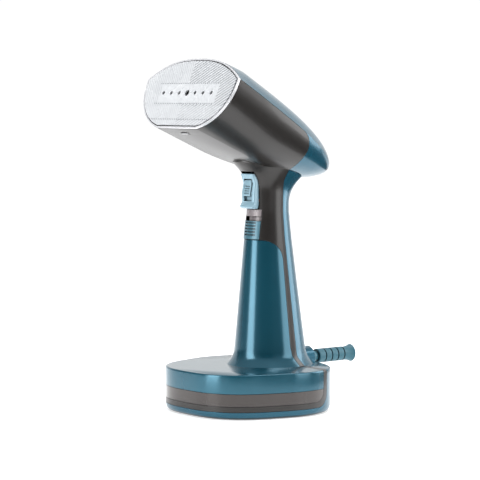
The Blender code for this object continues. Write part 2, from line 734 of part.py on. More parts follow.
def make_front_panel():
    """Panel between trigger and latch, with a recessed tongue that the latch slides over."""
    panel = bake(handle_strip(PANEL_BOTTOM, PANEL_TOP, LATCH_HALF - 0.0002, 0.0038))
    tongue = bake(handle_strip(0.1575, PANEL_BOTTOM + 0.0012, 0.0085, 0.0048, proud=-0.0031))
    ledge = box_cutter((-0.0030, -0.0070, PANEL_BOTTOM), (0.0030, 0.0030, PANEL_BOTTOM + 0.0014))
    return place(smooth(bake(join(panel, tongue, ledge))), "front_panel", "panel_grey")


def front_of_handle(z):
    return min(p.y for p in handle_ring(z))


PIN_Y, PIN_Z = -0.0035, 0.1980  # hinge axis of the trigger


def trigger_outline():
    """Side outline of the trigger: flush at the top, proud at its lower lip."""
    face = [(front_of_handle(0.2045) - 0.0002, 0.2045), (front_of_handle(0.196) - 0.0014, 0.1960),
            (front_of_handle(0.188) - 0.0034, 0.1880), (-0.0112, 0.1800), (-0.0140, 0.1755), (-0.0120, TRIGGER_BOTTOM)]
    back = [(-0.0062, TRIGGER_BOTTOM), (-0.0052, 0.1785), (-0.0052, 0.1990), (-0.0088, 0.2045)]
    return face + back


LOCK_LOW, LOCK_HIGH, LOCK_HALF = 0.1850, 0.1990, 0.0046


def make_trigger():
    trigger = bake(soften(prism("trigger", trigger_outline(), TRIGGER_HALF), 0.0018, segments=2))
    slot = box_cutter((-LOCK_HALF - 0.0009, -0.040, LOCK_LOW - 0.0045),
                      (LOCK_HALF + 0.0009, -0.0085, LOCK_HIGH + 0.0009))
    ear = TRIGGER_HALF - 0.0012
    ears = [rod_cutter((-ear, PIN_Y, PIN_Z), (ear, PIN_Y, PIN_Z), 0.0026, sides=16)]
    cut(join(trigger, *ears), slot)
    cut(trigger, rod_cutter((-0.012, PIN_Y, PIN_Z), (0.012, PIN_Y, PIN_Z), 0.0012, sides=14))
    return place(smooth(bake(trigger)), "trigger", "ice_blue")


def make_trigger_lock():
    face = [(front_of_handle(z) - proud, z) for z, proud in
            ((LOCK_HIGH, 0.0014), (0.1935, 0.0030), (0.1890, 0.0042), (LOCK_LOW, 0.0050))]
    outline = face + [(-0.0088, LOCK_LOW), (-0.0088, LOCK_HIGH)]
    lock = bake(soften(prism("lock", outline, LOCK_HALF), 0.0007))
    ridges = [box_cutter((-0.0030, -0.040, z), (0.0030, front_of_handle(z) - proud + 0.0006, z + 0.0009))
              for z, proud in ((0.1870, 0.0045), (0.1890, 0.0041), (0.1910, 0.0036), (0.1930, 0.0031))]
    return place(smooth(bake(cut(lock, *ridges))), "trigger_lock", "ice_blue")


def make_trigger_pin():
    pin = rod_cutter((-0.0100, PIN_Y, PIN_Z), (0.0100, PIN_Y, PIN_Z), 0.00105, sides=14)
    return place(smooth(pin), "trigger_pin", "steel")


def coil(name, start, end, radius, wire, turns, finish):
    """Compression spring as a helix between two points."""
    start, end = Vector(start), Vector(end)
    axis = (end - start).normalized()
    side = axis.orthogonal().normalized()
    other = axis.cross(side)
    steps = int(turns * 10)
    points = []
    for i in range(steps + 1):
        turn = 2 * pi * turns * i / steps
        points.append(start + (end - start) * i / steps + radius * (side * cos(turn) + other * sin(turn)))
    return tube(name, points, wire, finish, smoothing=False, resolution=1)


def make_microswitch():
    """Switch behind the trigger, its button forward."""
    body = box_cutter((-0.0060, 0.0030, 0.1770), (0.0060, 0.0105, 0.1890))
    cut(body, box_cutter((-0.0016, -0.001, 0.1795), (0.0016, 0.0062, 0.1825)))
    return place(bake(soften(bake(body), 0.0005)), "microswitch", "black_plastic")


def make_switch_button():
    button = box_cutter((-0.0013, -0.0049, 0.1798), (0.0013, 0.0044, 0.1822))
    return place(bake(soften(button, 0.0003)), "switch_button", "lens")


# Controls on the rear
BUTTON_Z, LENS_Z = 0.166, 0.178


def rear_of_handle(z):
    return max(p.y for p in handle_ring(z))


def make_power_button():
    rear = rear_of_handle(BUTTON_Z)
    cap = rod_cutter((0, rear - 0.0045, BUTTON_Z), (0, rear + 0.0008, BUTTON_Z), 0.0059, sides=24)
    soften(cap, 0.0006)
    return place(smooth(bake(cap)), "power_button", "ice_blue")


def make_power_switch():
    rear = rear_of_handle(BUTTON_Z)
    body = box_cutter((-0.0055, rear - 0.0120, BUTTON_Z - 0.0055), (0.0055, rear - 0.0072, BUTTON_Z + 0.0055))
    return place(bake(soften(body, 0.0005)), "power_switch", "black_plastic")


def make_lens():
    rear = rear_of_handle(LENS_Z)
    lens = rod_cutter((0, rear - 0.0050, LENS_Z), (0, rear + 0.0003, LENS_Z), 0.0015, sides=14)
    return place(smooth(lens), "indicator_lens", "lens")


# Base and tank fittings
def make_control_board():
    y = 0.0215
    board = box_cutter((-0.0115, y, 0.070), (0.0070, y + 0.0016, 0.135))
    return place(bake(board), "control_board", "board_green")


def make_board_parts():
    y = 0.0231 + GAP
    capacitor = rod_cutter((-0.0045, y + 0.0045, 0.105), (-0.0045, y + 0.0045, 0.120), 0.0045, sides=18)
    place(smooth(capacitor), "board_capacitor", "wire_blue")
    relay = box_cutter((-0.0095, y, 0.080), (0.0055, y + 0.0058, 0.094))
    place(bake(soften(relay, 0.0005)), "board_relay", "black_plastic")


def make_tank_coupling():
    """Socket in the frame that the tank's outlet plugs into, with a hose barb behind."""
    socket = rod_cutter((0, TANK_REAR + 0.0012, COUPLING_Z), (0, FRAME_REAR + 0.0030, COUPLING_Z), 0.0064, sides=24)
    join(socket, rod_cutter((0, FRAME_REAR + 0.0020, COUPLING_Z), (0, FRAME_REAR + 0.0110, COUPLING_Z), 0.0026, sides=14))
    cut(socket, rod_cutter((0, TANK_REAR - 0.002, COUPLING_Z), (0, FRAME_REAR - 0.0005, COUPLING_Z), 0.0046, sides=20))
    cut(socket, rod_cutter((0, TANK_REAR, COUPLING_Z), (0, FRAME_REAR + 0.015, COUPLING_Z), 0.0014, sides=10))
    return place(smooth(bake(socket)), "tank_coupling", "black_plastic")


def make_tank_valve():
    """Outlet valve in the rear wall of the tank."""
    valve = rod_cutter((0, 0.0120, COUPLING_Z), (0, TANK_REAR + 0.0048, COUPLING_Z), 0.0031, sides=18)
    join(valve, rod_cutter((0, 0.0110, COUPLING_Z), (0, 0.0164, COUPLING_Z), 0.0052, sides=20))
    cut(valve, rod_cutter((0, 0.008, COUPLING_Z), (0, 0.030, COUPLING_Z), 0.0016, sides=12))
    return place(smooth(bake(valve)), "tank_valve", "black_plastic")


def make_coupling_seal():
    """Rubber ring round the valve nozzle inside the socket."""
    ring = rod_cutter((0, TANK_REAR + 0.0022, COUPLING_Z), (0, TANK_REAR + 0.0036, COUPLING_Z), 0.0043, sides=20)
    cut(ring, rod_cutter((0, 0.010, COUPLING_Z), (0, 0.030, COUPLING_Z), 0.0034, sides=18))
    return place(smooth(bake(ring)), "coupling_seal", "silicone")


def make_filler_plug():
    plug = rod_cutter((0.030, 0.0150, 0.029), (0.030, TANK_REAR - 0.0004, 0.029), 0.0051, sides=20)
    join(plug, rod_cutter((0.030, 0.0135, 0.029), (0.030, 0.0160, 0.029), 0.0040, sides=20))
    return place(smooth(bake(plug)), "filler_plug", "silicone")


def turned(name, profile, height, sides=20):
    """A solid turned about a level axis along Y, from (y, radius) points that start and end on the axis."""
    bm = bmesh.new()
    rows = []
    for y, radius in profile[1:-1]:
        turns = [2 * pi * i / sides for i in range(sides)]
        rows.append([bm.verts.new((radius * cos(t), y, height + radius * sin(t))) for t in turns])
    tips = [bm.verts.new((0, profile[0][0], height)), bm.verts.new((0, profile[-1][0], height))]
    for i in range(sides):
        j = (i + 1) % sides
        for lower, upper in zip(rows, rows[1:]):
            bm.faces.new((lower[i], lower[j], upper[j], upper[i]))
        bm.faces.new((tips[0], rows[0][j], rows[0][i]))
        bm.faces.new((tips[1], rows[-1][i], rows[-1][j]))
    return from_bmesh(bm, name)


def make_cord_guard():
    """Ribbed sleeve with a flared mouth, turning on its ball in the boss."""
    radius = 0.0056
    profile = [(CORD_BALL_Y - radius * cos(radians(t)), radius * sin(radians(t))) for t in range(0, 131, 13)]
    start, end = CORD_BALL_Y + 0.0052, CORD_BALL_Y + 0.0455
    profile += [(start, 0.0042), (start, 0.0060), (start + 0.0006, 0.0064)]
    for i in range(4):
        y = start + 0.0068 + 0.0072 * i
        profile += [(y, 0.0063), (y, 0.0052), (y + 0.0012, 0.0052), (y + 0.0012, 0.0063)]
    profile += [(end - 0.0080, 0.0060), (end - 0.0030, 0.0066), (end, 0.0078)]
    profile += [(end, 0.0058), (end - 0.0060, 0.0036), (start + 0.0060, 0.0034), (start + 0.0060, 0.0)]
    return place(smooth(turned("guard", profile, CORD_AXIS_Z)), "cord_guard", "grip_teal")


def make_hoses():
    """Water hose from the tank coupling to the pump, and hose from the pump to the steam chamber."""
    rise = [(0, 0.0359, COUPLING_Z), (0, 0.0378, COUPLING_Z), (0, 0.0410, 0.030), (0.003, 0.0390, 0.048),
            (0.0110, 0.0310, 0.070),
            (0.0120, 0.0270, 0.098), (0.0110, 0.0235, 0.130), (0.0100, 0.0200, 0.158), (0.0095, 0.0170, 0.176),
            (0.0085, 0.0140, 0.190), (0.0080, 0.0120, 0.201), (0.0070, 0.0150, 0.2090), (0.0055, 0.0260, 0.2130),
            (0.0030, 0.0370, 0.2150), (0.0, 0.0435, 0.2190)]
    rise += [head_point(0, s, PUMP_V) for s in (0.1240, 0.1163)]
    tube("inlet_hose", rise, 0.0019, "silicone")
    run = ((0, 0.0617, PUMP_V), (0.001, 0.0575, 0.0), (0.008, 0.0548, -0.002), (0.0175, 0.0535, -0.005),
           (0.020, 0.0500, -0.006), (0.020, 0.0403, -0.006))
    tube("outlet_hose", [head_point(*p) for p in run], 0.0019, "silicone")


def make_wires():
    """Leads from the control board to both ends of the heating element."""
    left = [(-0.006, 0.0223, 0.1353), (-0.009, 0.0200, 0.150), (-0.010, 0.0180, 0.165), (-0.0110, 0.0140, 0.185),
            (-0.0115, 0.0080, 0.200), (-0.0115, 0.0, 0.211), (-0.0110, -0.0110, 0.222)]
    right = [(0.004, 0.0223, 0.1358), (0.0062, 0.0195, 0.1420), (0.0085, 0.0160, 0.1490), (0.0130, 0.0135, 0.158),
             (0.0130, 0.0135, 0.170), (0.0130, 0.0120, 0.190),
             (0.0130, 0.0050, 0.203), (0.0125, -0.0030, 0.213), (0.0120, -0.0120, 0.223)]
    for route, side, name, finish in ((left, -1, "lead_left", "wire_brown"), (right, 1, "lead_right", "wire_blue")):
        ends = [head_point(side * 0.008, s, v) for s, v in ((0.0640, -0.0140), (0.0564, -0.0120))]
        tube(name, route + ends, 0.0009, finish, resolution=1)


def make_screws():
    """Two countersunk screws that hold the shoe to the rear shell."""
    for number, (x, y) in enumerate(SCREW_PLACES):
        head = rod_cutter((x, y, 0.0003), (x, y, 0.0014), 0.0031, sides=16)
        for reach in ((0.0020, 0.0004), (0.0004, 0.0020)):
            low, high = (x - reach[0], y - reach[1], -0.001), (x + reach[0], y + reach[1], 0.0009)
            cut(head, box_cutter(low, high))
        place(smooth(bake(head)), f"shoe_screw_{number}", "steel")


def make_feet():
    for number, (x, y) in enumerate(FOOT_PLACES):
        foot = rod_cutter((x, y, 0.0), (x, y, 0.0010), 0.0040, sides=16)
        place(smooth(foot), f"rubber_foot_{number}", "rubber")


make_main_housing()
make_catch_pin()
make_top_cover()
make_rear_shell()
make_base_shoe()
make_tank_upper()
make_tank_lower()
make_bezel()
make_face_plate()
make_face_gasket()
make_steam_chamber()
make_chamber_cover()
make_heating_element()
make_thermostat()
make_thermal_fuse()
make_heat_shield()
make_pump_body()
make_pump_piston()
make_pump_coil()
make_pump_frame()
make_latch()
make_front_panel()
make_trigger()
make_trigger_lock()
make_trigger_pin()
coil("trigger_spring", (0, -0.0043, 0.1930), (0, 0.0025, 0.1930), 0.0017, 0.0003, 4, "steel")
coil("latch_spring", (0, 0.0005, 0.1520), (0, 0.0005, 0.1672), 0.0018, 0.0003, 6, "steel")
make_microswitch()
make_switch_button()
make_power_button()
make_power_switch()
make_lens()
make_control_board()
make_board_parts()
make_hoses()
make_wires()
make_tank_coupling()
make_tank_valve()
make_coupling_seal()
make_filler_plug()
make_cord_guard()
make_feet()
make_screws()
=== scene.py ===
"""Visual model of the handheld garment steamer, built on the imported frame.

Every shown casing is a finely stepped skin of the same lofted surfaces and seams as its CAD node.
The inner pieces keep their CAD meshes and get their own materials.
"""
import json
from math import cos, pi, radians, sin

import bmesh
import bpy
from mathutils import Matrix, Vector

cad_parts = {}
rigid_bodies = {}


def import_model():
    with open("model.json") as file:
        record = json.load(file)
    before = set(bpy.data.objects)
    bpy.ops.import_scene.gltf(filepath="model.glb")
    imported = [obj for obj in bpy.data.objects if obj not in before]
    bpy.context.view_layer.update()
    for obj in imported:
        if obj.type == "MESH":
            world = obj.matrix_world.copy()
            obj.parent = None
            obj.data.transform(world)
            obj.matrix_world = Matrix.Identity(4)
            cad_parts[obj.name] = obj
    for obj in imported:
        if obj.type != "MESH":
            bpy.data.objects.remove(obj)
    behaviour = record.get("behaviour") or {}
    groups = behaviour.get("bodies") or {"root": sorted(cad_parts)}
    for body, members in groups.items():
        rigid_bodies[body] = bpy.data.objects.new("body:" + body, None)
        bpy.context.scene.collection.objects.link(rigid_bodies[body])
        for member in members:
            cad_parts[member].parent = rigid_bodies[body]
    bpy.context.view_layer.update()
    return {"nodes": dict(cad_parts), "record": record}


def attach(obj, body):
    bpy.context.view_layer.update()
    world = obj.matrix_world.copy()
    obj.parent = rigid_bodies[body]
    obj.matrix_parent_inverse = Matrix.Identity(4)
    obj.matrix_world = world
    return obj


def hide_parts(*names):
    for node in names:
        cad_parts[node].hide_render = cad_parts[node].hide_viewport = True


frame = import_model()
SLOT_OF = {entry["node"]: entry["material_slot"] for entry in frame["record"]["subparts"]}
BODY_OF = {node: body for body, nodes in frame["record"]["behaviour"]["bodies"].items() for node in nodes}

# Driving dimensions
GAP = 0.0003  # gap between neighbouring pieces
WALL = 0.0022  # moulded wall thickness
TILT = radians(23.5)  # head axis above the horizontal, nose up
FACE_CENTRE = Vector((0.0, -0.074, 0.273))  # centre of the steam hole row on the face plane
HEAD_LENGTH = 0.1615  # face plane to tail, along the head axis
HEAD_HALF_WIDTH = 0.064
HEAD_TIP_V = -0.004  # height of the tail tip over the head axis
SEAM_CORNER_S = 0.109  # where the tail seam crosses the head
BASE_TOP = 0.038
BASE_HALF_WIDTH = 0.0692
BASE_FRONT = -0.0785
BASE_REAR = 0.0506
BASE_TAPER = 0.24  # how much wider the footprint grows towards the rear
TANK_BOTTOM = 0.0113
TANK_JOIN = 0.0219  # height of the weld between the two tank shells
TANK_TOP = 0.1470
TANK_REAR = 0.0190  # rear face of the tank inside the base
SHOE_TOP = 0.0065
FRAME_REAR = 0.0245  # rear face of the bronze frame in the base
REAR_DECK = 0.0355  # seam between the rear shell and the shoe
LATCH_HALF = 0.0106
LATCH_TOP = 0.1633
PANEL_BOTTOM = 0.1676
PANEL_TOP = 0.1734
TRIGGER_HALF = 0.0086
TRIGGER_BOTTOM = 0.1740
TRIGGER_TOP = 0.2060
HOLE_PITCH = 0.0112
CORD_AXIS_Z = 0.0400
CORD_BALL_Y = 0.0610
COUPLING_Z = 0.0265  # height of the tank outlet
SIDE = 0.080  # half width of the seam prisms, wider than the object
LIMIT = 0.00015  # half the parting gap
FOOT_PLACES = ((-0.040, -0.050), (0.040, -0.050), (-0.044, 0.018), (0.044, 0.018))
SCREW_PLACES = ((-0.026, 0.034), (0.026, 0.034))
PIN_Y, PIN_Z = -0.0035, 0.1980  # hinge axis of the trigger
LOCK_LOW, LOCK_HIGH, LOCK_HALF = 0.1850, 0.1990, 0.0046
BUTTON_Z, LENS_Z = 0.166, 0.178  # heights of the rear button and its lamp
PLATE_GREY, GROOVE_GREY = (0.58, 0.595, 0.61), (0.05, 0.06, 0.075)

CUTTERS = bpy.data.collections.new("cutters")
CUTTERS.hide_render = True
bpy.context.scene.collection.children.link(CUTTERS)


# Materials
class Nodes:
    """Short names for building one node material."""

    def __init__(self, name):
        self.material = bpy.data.materials.new(name)
        self.material.use_nodes = True
        self.tree = self.material.node_tree
        self.shader = self.tree.nodes["Principled BSDF"]
        self.place = self.add("ShaderNodeTexCoord").outputs["Object"]

    def add(self, kind, **settings):
        node = self.tree.nodes.new(kind)
        for key, value in settings.items():
            setattr(node, key, value)
        return node

    def link(self, source, target):
        self.tree.links.new(source, target)

    def set(self, **values):
        for key, value in values.items():
            self.shader.inputs[key.replace("_", " ")].default_value = value

    def math(self, operation, *inputs):
        node = self.add("ShaderNodeMath", operation=operation)
        for socket, value in zip(node.inputs, inputs):
            if isinstance(value, (int, float)):
                socket.default_value = value
            else:
                self.link(value, socket)
        return node.outputs[0]

    def noise(self, scale, detail=3.0, source=None):
        node = self.add("ShaderNodeTexNoise")
        node.inputs["Scale"].default_value = scale
        node.inputs["Detail"].default_value = detail
        self.link(source or self.place, node.inputs["Vector"])
        return node.outputs["Fac"]

    def spread(self, value, low, high):
        node = self.add("ShaderNodeMapRange")
        node.inputs["From Min"].default_value = 0.2
        node.inputs["From Max"].default_value = 0.8
        node.inputs["To Min"].default_value = low
        node.inputs["To Max"].default_value = high
        self.link(value, node.inputs["Value"])
        return node.outputs["Result"]

    def mix(self, share, first, second):
        node = self.add("ShaderNodeMix", data_type="RGBA")
        for socket, value in ((node.inputs[0], share), (node.inputs[6], first), (node.inputs[7], second)):
            if isinstance(value, tuple):
                socket.default_value = (*value, 1.0)
            elif isinstance(value, (int, float)):
                socket.default_value = value
            else:
                self.link(value, socket)
        return node.outputs[2]

    def painted_crease_shade(self, colour, reach=0.0030):
        """Painted shade: colour darkened by ambient occlusion where two surfaces meet closely."""
        near = self.add("ShaderNodeAmbientOcclusion", samples=8)
        near.inputs["Distance"].default_value = reach
        shade = self.add("ShaderNodeMix", data_type="RGBA", blend_type="MULTIPLY")
        shade.inputs["Factor"].default_value = 1.0
        self.link(colour, shade.inputs["A"])
        self.link(self.spread(self.math("POWER", near.outputs["AO"], 1.6), 0.12, 1.0), shade.inputs["B"])
        return shade.outputs["Result"]

    def finish(self, height=None, strength=0.2, distance=0.0002, edge=0.0004):
        """Rounds the edges for light, under the bump."""
        rounded = self.add("ShaderNodeBevel", samples=6)
        rounded.inputs["Radius"].default_value = edge
        normal = rounded.outputs["Normal"]
        if height is not None:
            bump = self.add("ShaderNodeBump")
            bump.inputs["Strength"].default_value = strength
            bump.inputs["Distance"].default_value = distance
            self.link(height, bump.inputs["Height"])
            self.link(normal, bump.inputs["Normal"])
            normal = bump.outputs["Normal"]
        self.link(normal, self.shader.inputs["Normal"])
        return self.material


def moulded(name, colour, roughness=0.25, metallic=0.0, coat=0.0, grain=0.25, edge=0.0004, shift=0.12):
    """Moulded or painted plastic with slight flow marks, fine grain, handling marks in its gloss, and painted
    shade in its creases and gaps.
    """
    n = Nodes(name)
    flow = n.noise(14.0, 2.0)
    dark = tuple(c * (1 - shift) for c in colour)
    light = tuple(min(c * (1 + shift), 1.0) for c in colour)
    # Base colour with painted shade where surfaces meet closely
    n.link(n.painted_crease_shade(n.mix(n.spread(flow, 0.0, 1.0), dark, light)), n.shader.inputs["Base Color"])
    wear = n.noise(30.0, 2.0)
    n.link(n.spread(wear, roughness * 0.96, roughness * 1.04), n.shader.inputs["Roughness"])
    n.set(Metallic=metallic, Coat_Weight=coat, Coat_Roughness=0.06)
    return n.finish(n.noise(2200.0, 2.0), strength=grain, distance=0.00003, edge=edge)


def bare_metal(name, colour, roughness=0.3, stretch=(1, 1, 12), edge=0.0003):
    """Metal with fine drawn lines."""
    n = Nodes(name)
    mapping = n.add("ShaderNodeMapping")
    mapping.inputs["Scale"].default_value = stretch
    n.link(n.place, mapping.inputs["Vector"])
    lines = n.noise(420.0, 4.0, mapping.outputs["Vector"])
    dark = tuple(c * 0.85 for c in colour)
    n.link(n.mix(n.spread(lines, 0.0, 1.0), dark, colour), n.shader.inputs["Base Color"])
    n.link(n.spread(lines, roughness * 0.8, roughness * 1.3), n.shader.inputs["Roughness"])
    n.set(Metallic=1.0)
    return n.finish(lines, strength=0.15, distance=0.00003, edge=edge)


def plate_white():
    """White coated steam plate: fine slanted lines, with a smooth band and dotted lines round the holes."""
    right_pitch, left_pitch, dot_pitch = 0.0025, 0.0026, 0.0026
    band_half_height, band_half_width = 0.0098, 0.040
    dots_level, lower_dots, dot_half, dots_reach = 0.0092, 0.0242, 0.0005, 0.042
    n = Nodes("plate_white")
    across = n.add("ShaderNodeSeparateXYZ")
    n.link(n.place, across.inputs[0])
    x, y, z = across.outputs
    along = n.math("ADD", n.math("MULTIPLY", n.math("SUBTRACT", y, FACE_CENTRE.y), sin(TILT)),
                   n.math("MULTIPLY", n.math("SUBTRACT", z, FACE_CENTRE.z), cos(TILT)))
    level = n.math("ABSOLUTE", n.math("ADD", along, 0.0006))
    slanted = n.math("ADD", n.math("MULTIPLY", x, -0.51), n.math("MULTIPLY", along, 0.86))
    steep = n.math("ADD", x, n.math("MULTIPLY", along, 0.2))
    coarse = n.math("GREATER_THAN", n.math("SINE", n.math("MULTIPLY", slanted, 2 * pi / right_pitch)), 0.35)
    fine = n.math("GREATER_THAN", n.math("SINE", n.math("MULTIPLY", steep, 2 * pi / left_pitch)), 0.35)
    right = n.math("GREATER_THAN", x, -0.002)
    left = n.math("SUBTRACT", 1.0, right)
    faint = n.math("MULTIPLY", n.math("MULTIPLY", fine, left), 0.45)
    lines = n.math("ADD", n.math("MULTIPLY", coarse, right), faint)
    beyond = n.math("GREATER_THAN", n.math("ABSOLUTE", n.math("SUBTRACT", x, 0.002)), band_half_width)
    outside = n.math("MAXIMUM", n.math("GREATER_THAN", level, band_half_height), beyond)
    near_line = n.math("MINIMUM", n.math("ABSOLUTE", n.math("SUBTRACT", level, dots_level)),
                       n.math("ABSOLUTE", n.math("ADD", along, lower_dots)))
    dots = n.math("MULTIPLY", n.math("LESS_THAN", near_line, dot_half),
                  n.math("GREATER_THAN", n.math("SINE", n.math("MULTIPLY", x, 2 * pi / dot_pitch)), 0.0))
    dots = n.math("MULTIPLY", dots, n.math("LESS_THAN", n.math("ABSOLUTE", x), dots_reach))
    fade = n.math("MULTIPLY_ADD", n.math("GREATER_THAN", along, -0.012), 0.5, 0.5)
    groove = n.math("MULTIPLY", n.math("MULTIPLY", lines, outside), fade)
    shade = n.math("MAXIMUM", n.math("MULTIPLY", groove, 0.62), n.math("MULTIPLY", dots, 0.75))
    n.link(n.mix(shade, PLATE_GREY, GROOVE_GREY), n.shader.inputs["Base Color"])
    n.link(n.spread(n.noise(90.0), 0.22, 0.38), n.shader.inputs["Roughness"])
    n.set(Metallic=0.05, Coat_Weight=0.3)
    height = n.math("SUBTRACT", 0.0, n.math("MAXIMUM", groove, dots))
    return n.finish(height, strength=0.35, distance=0.0002, edge=0.0005)


def bezel_silver():
    """Bright plastic, with painted shade: a near-black colour in the recess behind its front lip."""
    n = Nodes("silver")
    split = n.add("ShaderNodeSeparateXYZ")
    n.link(n.place, split.inputs[0])
    x, y, z = split.outputs
    depth = n.math("SUBTRACT", n.math("MULTIPLY", n.math("SUBTRACT", y, FACE_CENTRE.y), cos(TILT)),
                   n.math("MULTIPLY", n.math("SUBTRACT", z, FACE_CENTRE.z), sin(TILT)))
    facing = n.add("ShaderNodeVectorMath", operation="DOT_PRODUCT")
    n.link(n.add("ShaderNodeNewGeometry").outputs["True Normal"], facing.inputs[0])
    facing.inputs[1].default_value = (0.0, -cos(TILT), sin(TILT))
    recess_painted_shade = n.math("MULTIPLY", n.math("GREATER_THAN", depth, -0.0014),
                    n.math("GREATER_THAN", facing.outputs["Value"], 0.5))
    # Painted shade: the front-facing recess behind the lip gets a near-black colour
    n.link(n.mix(recess_painted_shade, (0.62, 0.62, 0.64), (0.015, 0.015, 0.017)), n.shader.inputs["Base Color"])
    n.link(n.spread(n.noise(40.0), 0.20, 0.28), n.shader.inputs["Roughness"])
    n.set(Metallic=0.2, Coat_Weight=0.3)
    return n.finish(n.noise(2200.0, 2.0), strength=0.2, distance=0.00003, edge=0.0002)


def tank_blue():
    """Tinted tank plastic, deeper and lighter blue in soft noise patches, with faint flow lines."""
    n = Nodes("tank_blue")
    flow = n.noise(9.0, 2.0)
    deep, thin = (0.006, 0.075, 0.115), (0.011, 0.100, 0.148)
    n.link(n.mix(n.spread(flow, 0.0, 1.0), deep, thin), n.shader.inputs["Base Color"])
    n.link(n.spread(n.noise(30.0, 2.0), 0.195, 0.215), n.shader.inputs["Roughness"])
    n.set(Metallic=0.5, Coat_Weight=0.4, Coat_Roughness=0.16, IOR=1.5)
    return n.finish(n.noise(120.0, 1.0), strength=0.03, distance=0.0001)


def woven(name, colour):
    """Sheathed lead or hose with fine ribs along it."""
    n = Nodes(name)
    ribs = n.noise(900.0, 2.0)
    dark = tuple(c * 0.8 for c in colour)
    n.link(n.mix(n.spread(ribs, 0.0, 1.0), dark, colour), n.shader.inputs["Base Color"])
    n.link(n.spread(n.noise(40.0), 0.4, 0.6), n.shader.inputs["Roughness"])
    return n.finish(ribs, strength=0.2, distance=0.00005)


def winding():
    """Copper wire in close turns, with painted shade darkening the gaps between turns."""
    n = Nodes("copper_winding")
    wave = n.add("ShaderNodeTexWave")
    wave.inputs["Scale"].default_value = 160.0
    n.link(n.place, wave.inputs["Vector"])
    turns = wave.outputs["Fac"]
    # Painted shade: the gaps between turns get a darker copper colour
    n.link(n.mix(turns, (0.30, 0.10, 0.04), (0.72, 0.33, 0.16)), n.shader.inputs["Base Color"])
    n.set(Metallic=0.9)
    n.link(n.spread(turns, 0.25, 0.4), n.shader.inputs["Roughness"])
    return n.finish(turns, strength=0.5, distance=0.0002)


MATERIALS = {
    "bronze_gloss": moulded("bronze_gloss", (0.018, 0.0158, 0.0145), 0.31, 0.15, 0.15),
    "teal_gloss": moulded("teal_gloss", (0.007, 0.085, 0.135), 0.24, 0.5, 0.3),
    "tank_blue": tank_blue(),
    "latch_blue": moulded("latch_blue", (0.050, 0.15, 0.20), 0.34, 0.2, 0.2),
    "tank_bronze": moulded("tank_bronze", (0.034, 0.026, 0.023), 0.20, 0.2, 0.5),
    "ice_blue": moulded("ice_blue", (0.25, 0.40, 0.48), 0.32, 0.1, 0.2),
    "grip_teal": moulded("grip_teal", (0.018, 0.11, 0.15), 0.45, 0.0, 0.0, grain=0.5),
    "panel_grey": moulded("panel_grey", (0.20, 0.175, 0.18), 0.35, 0.1, 0.2),
    "face_white": plate_white(),
    "fuse_white": moulded("fuse_white", (0.80, 0.79, 0.74), 0.45),
    "silver": bezel_silver(),
    "cast_aluminium": bare_metal("cast_aluminium", (0.55, 0.55, 0.56), 0.5, stretch=(1, 1, 1)),
    "steel": bare_metal("steel", (0.52, 0.52, 0.54), 0.3),
    "copper": winding(),
    "black_plastic": moulded("black_plastic", (0.022, 0.022, 0.024), 0.5, grain=0.5),
    "silicone": moulded("silicone", (0.66, 0.64, 0.60), 0.55, grain=0.4),
    "foot_rubber": moulded("foot_rubber", (0.03, 0.03, 0.03), 0.8, grain=0.7),
    "board_green": moulded("board_green", (0.02, 0.15, 0.065), 0.35, coat=0.3),
    "lens": moulded("amber_lens", (0.75, 0.25, 0.06), 0.12, coat=0.8),
    "switch_red": moulded("switch_red", (0.55, 0.08, 0.04), 0.35),
    "mica": moulded("mica_board", (0.50, 0.42, 0.29), 0.6, grain=0.6, shift=0.3),
    "wire_brown": woven("wire_brown", (0.16, 0.06, 0.03)),
    "wire_blue": woven("wire_blue", (0.03, 0.07, 0.35)),
    "capacitor_blue": moulded("capacitor_blue", (0.03, 0.06, 0.30), 0.3, coat=0.4),
}


def place(obj, name):
    """Makes the object the shown skin of the CAD node with that name."""
    obj.name = name + "_skin"
    obj.data.name = obj.name
    for home in list(obj.users_collection):
        home.objects.unlink(obj)
    bpy.context.scene.collection.objects.link(obj)
    obj.hide_render = False
    obj.data.materials.clear()
    obj.data.materials.append(MATERIALS[SLOT_OF[name]])
    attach(obj, BODY_OF[name])
    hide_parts(name)
    return obj


# Solids and Booleans
def guide(obj):
    """Files the object with the cutters, out of the render."""
    for home in list(obj.users_collection):
        home.objects.unlink(obj)
    CUTTERS.objects.link(obj)
    obj.hide_render = True
    obj.display_type = "WIRE"
    return obj


def from_bmesh(bm, name):
    bmesh.ops.recalc_face_normals(bm, faces=bm.faces)
    mesh = bpy.data.meshes.new(name)
    bm.to_mesh(mesh)
    bm.free()
    obj = bpy.data.objects.new(name, mesh)
    CUTTERS.objects.link(obj)
    return obj


def loft(name, rings):
    """A closed solid through rings with equal point counts, with flat ends."""
    bm = bmesh.new()
    rows = [[bm.verts.new(point) for point in ring] for ring in rings]
    count = len(rings[0])
    for lower, upper in zip(rows, rows[1:]):
        for i in range(count):
            j = (i + 1) % count
            bm.faces.new((lower[i], lower[j], upper[j], upper[i]))
    bm.faces.new(rows[0])
    bm.faces.new(rows[-1])
    return from_bmesh(bm, name)


def prism(name, outline, half_width, lift=lambda y, z: (y, z)):
    """A flat outline in the side plane, extruded evenly to both sides of X = 0."""
    bm = bmesh.new()
    corners = [bm.verts.new((-half_width, *lift(y, z))) for y, z in outline]
    face = bm.faces.new(corners)
    grown = bmesh.ops.extrude_face_region(bm, geom=[face])["geom"]
    moved = [item for item in grown if isinstance(item, bmesh.types.BMVert)]
    bmesh.ops.translate(bm, verts=moved, vec=(2 * half_width, 0, 0))
    return from_bmesh(bm, name)


def box_cutter(low, high):
    bm = bmesh.new()
    bmesh.ops.create_cube(bm, size=1.0)
    low, high = Vector(low), Vector(high)
    bmesh.ops.scale(bm, vec=high - low, verts=bm.verts)
    bmesh.ops.translate(bm, vec=(low + high) / 2, verts=bm.verts)
    return from_bmesh(bm, "box")


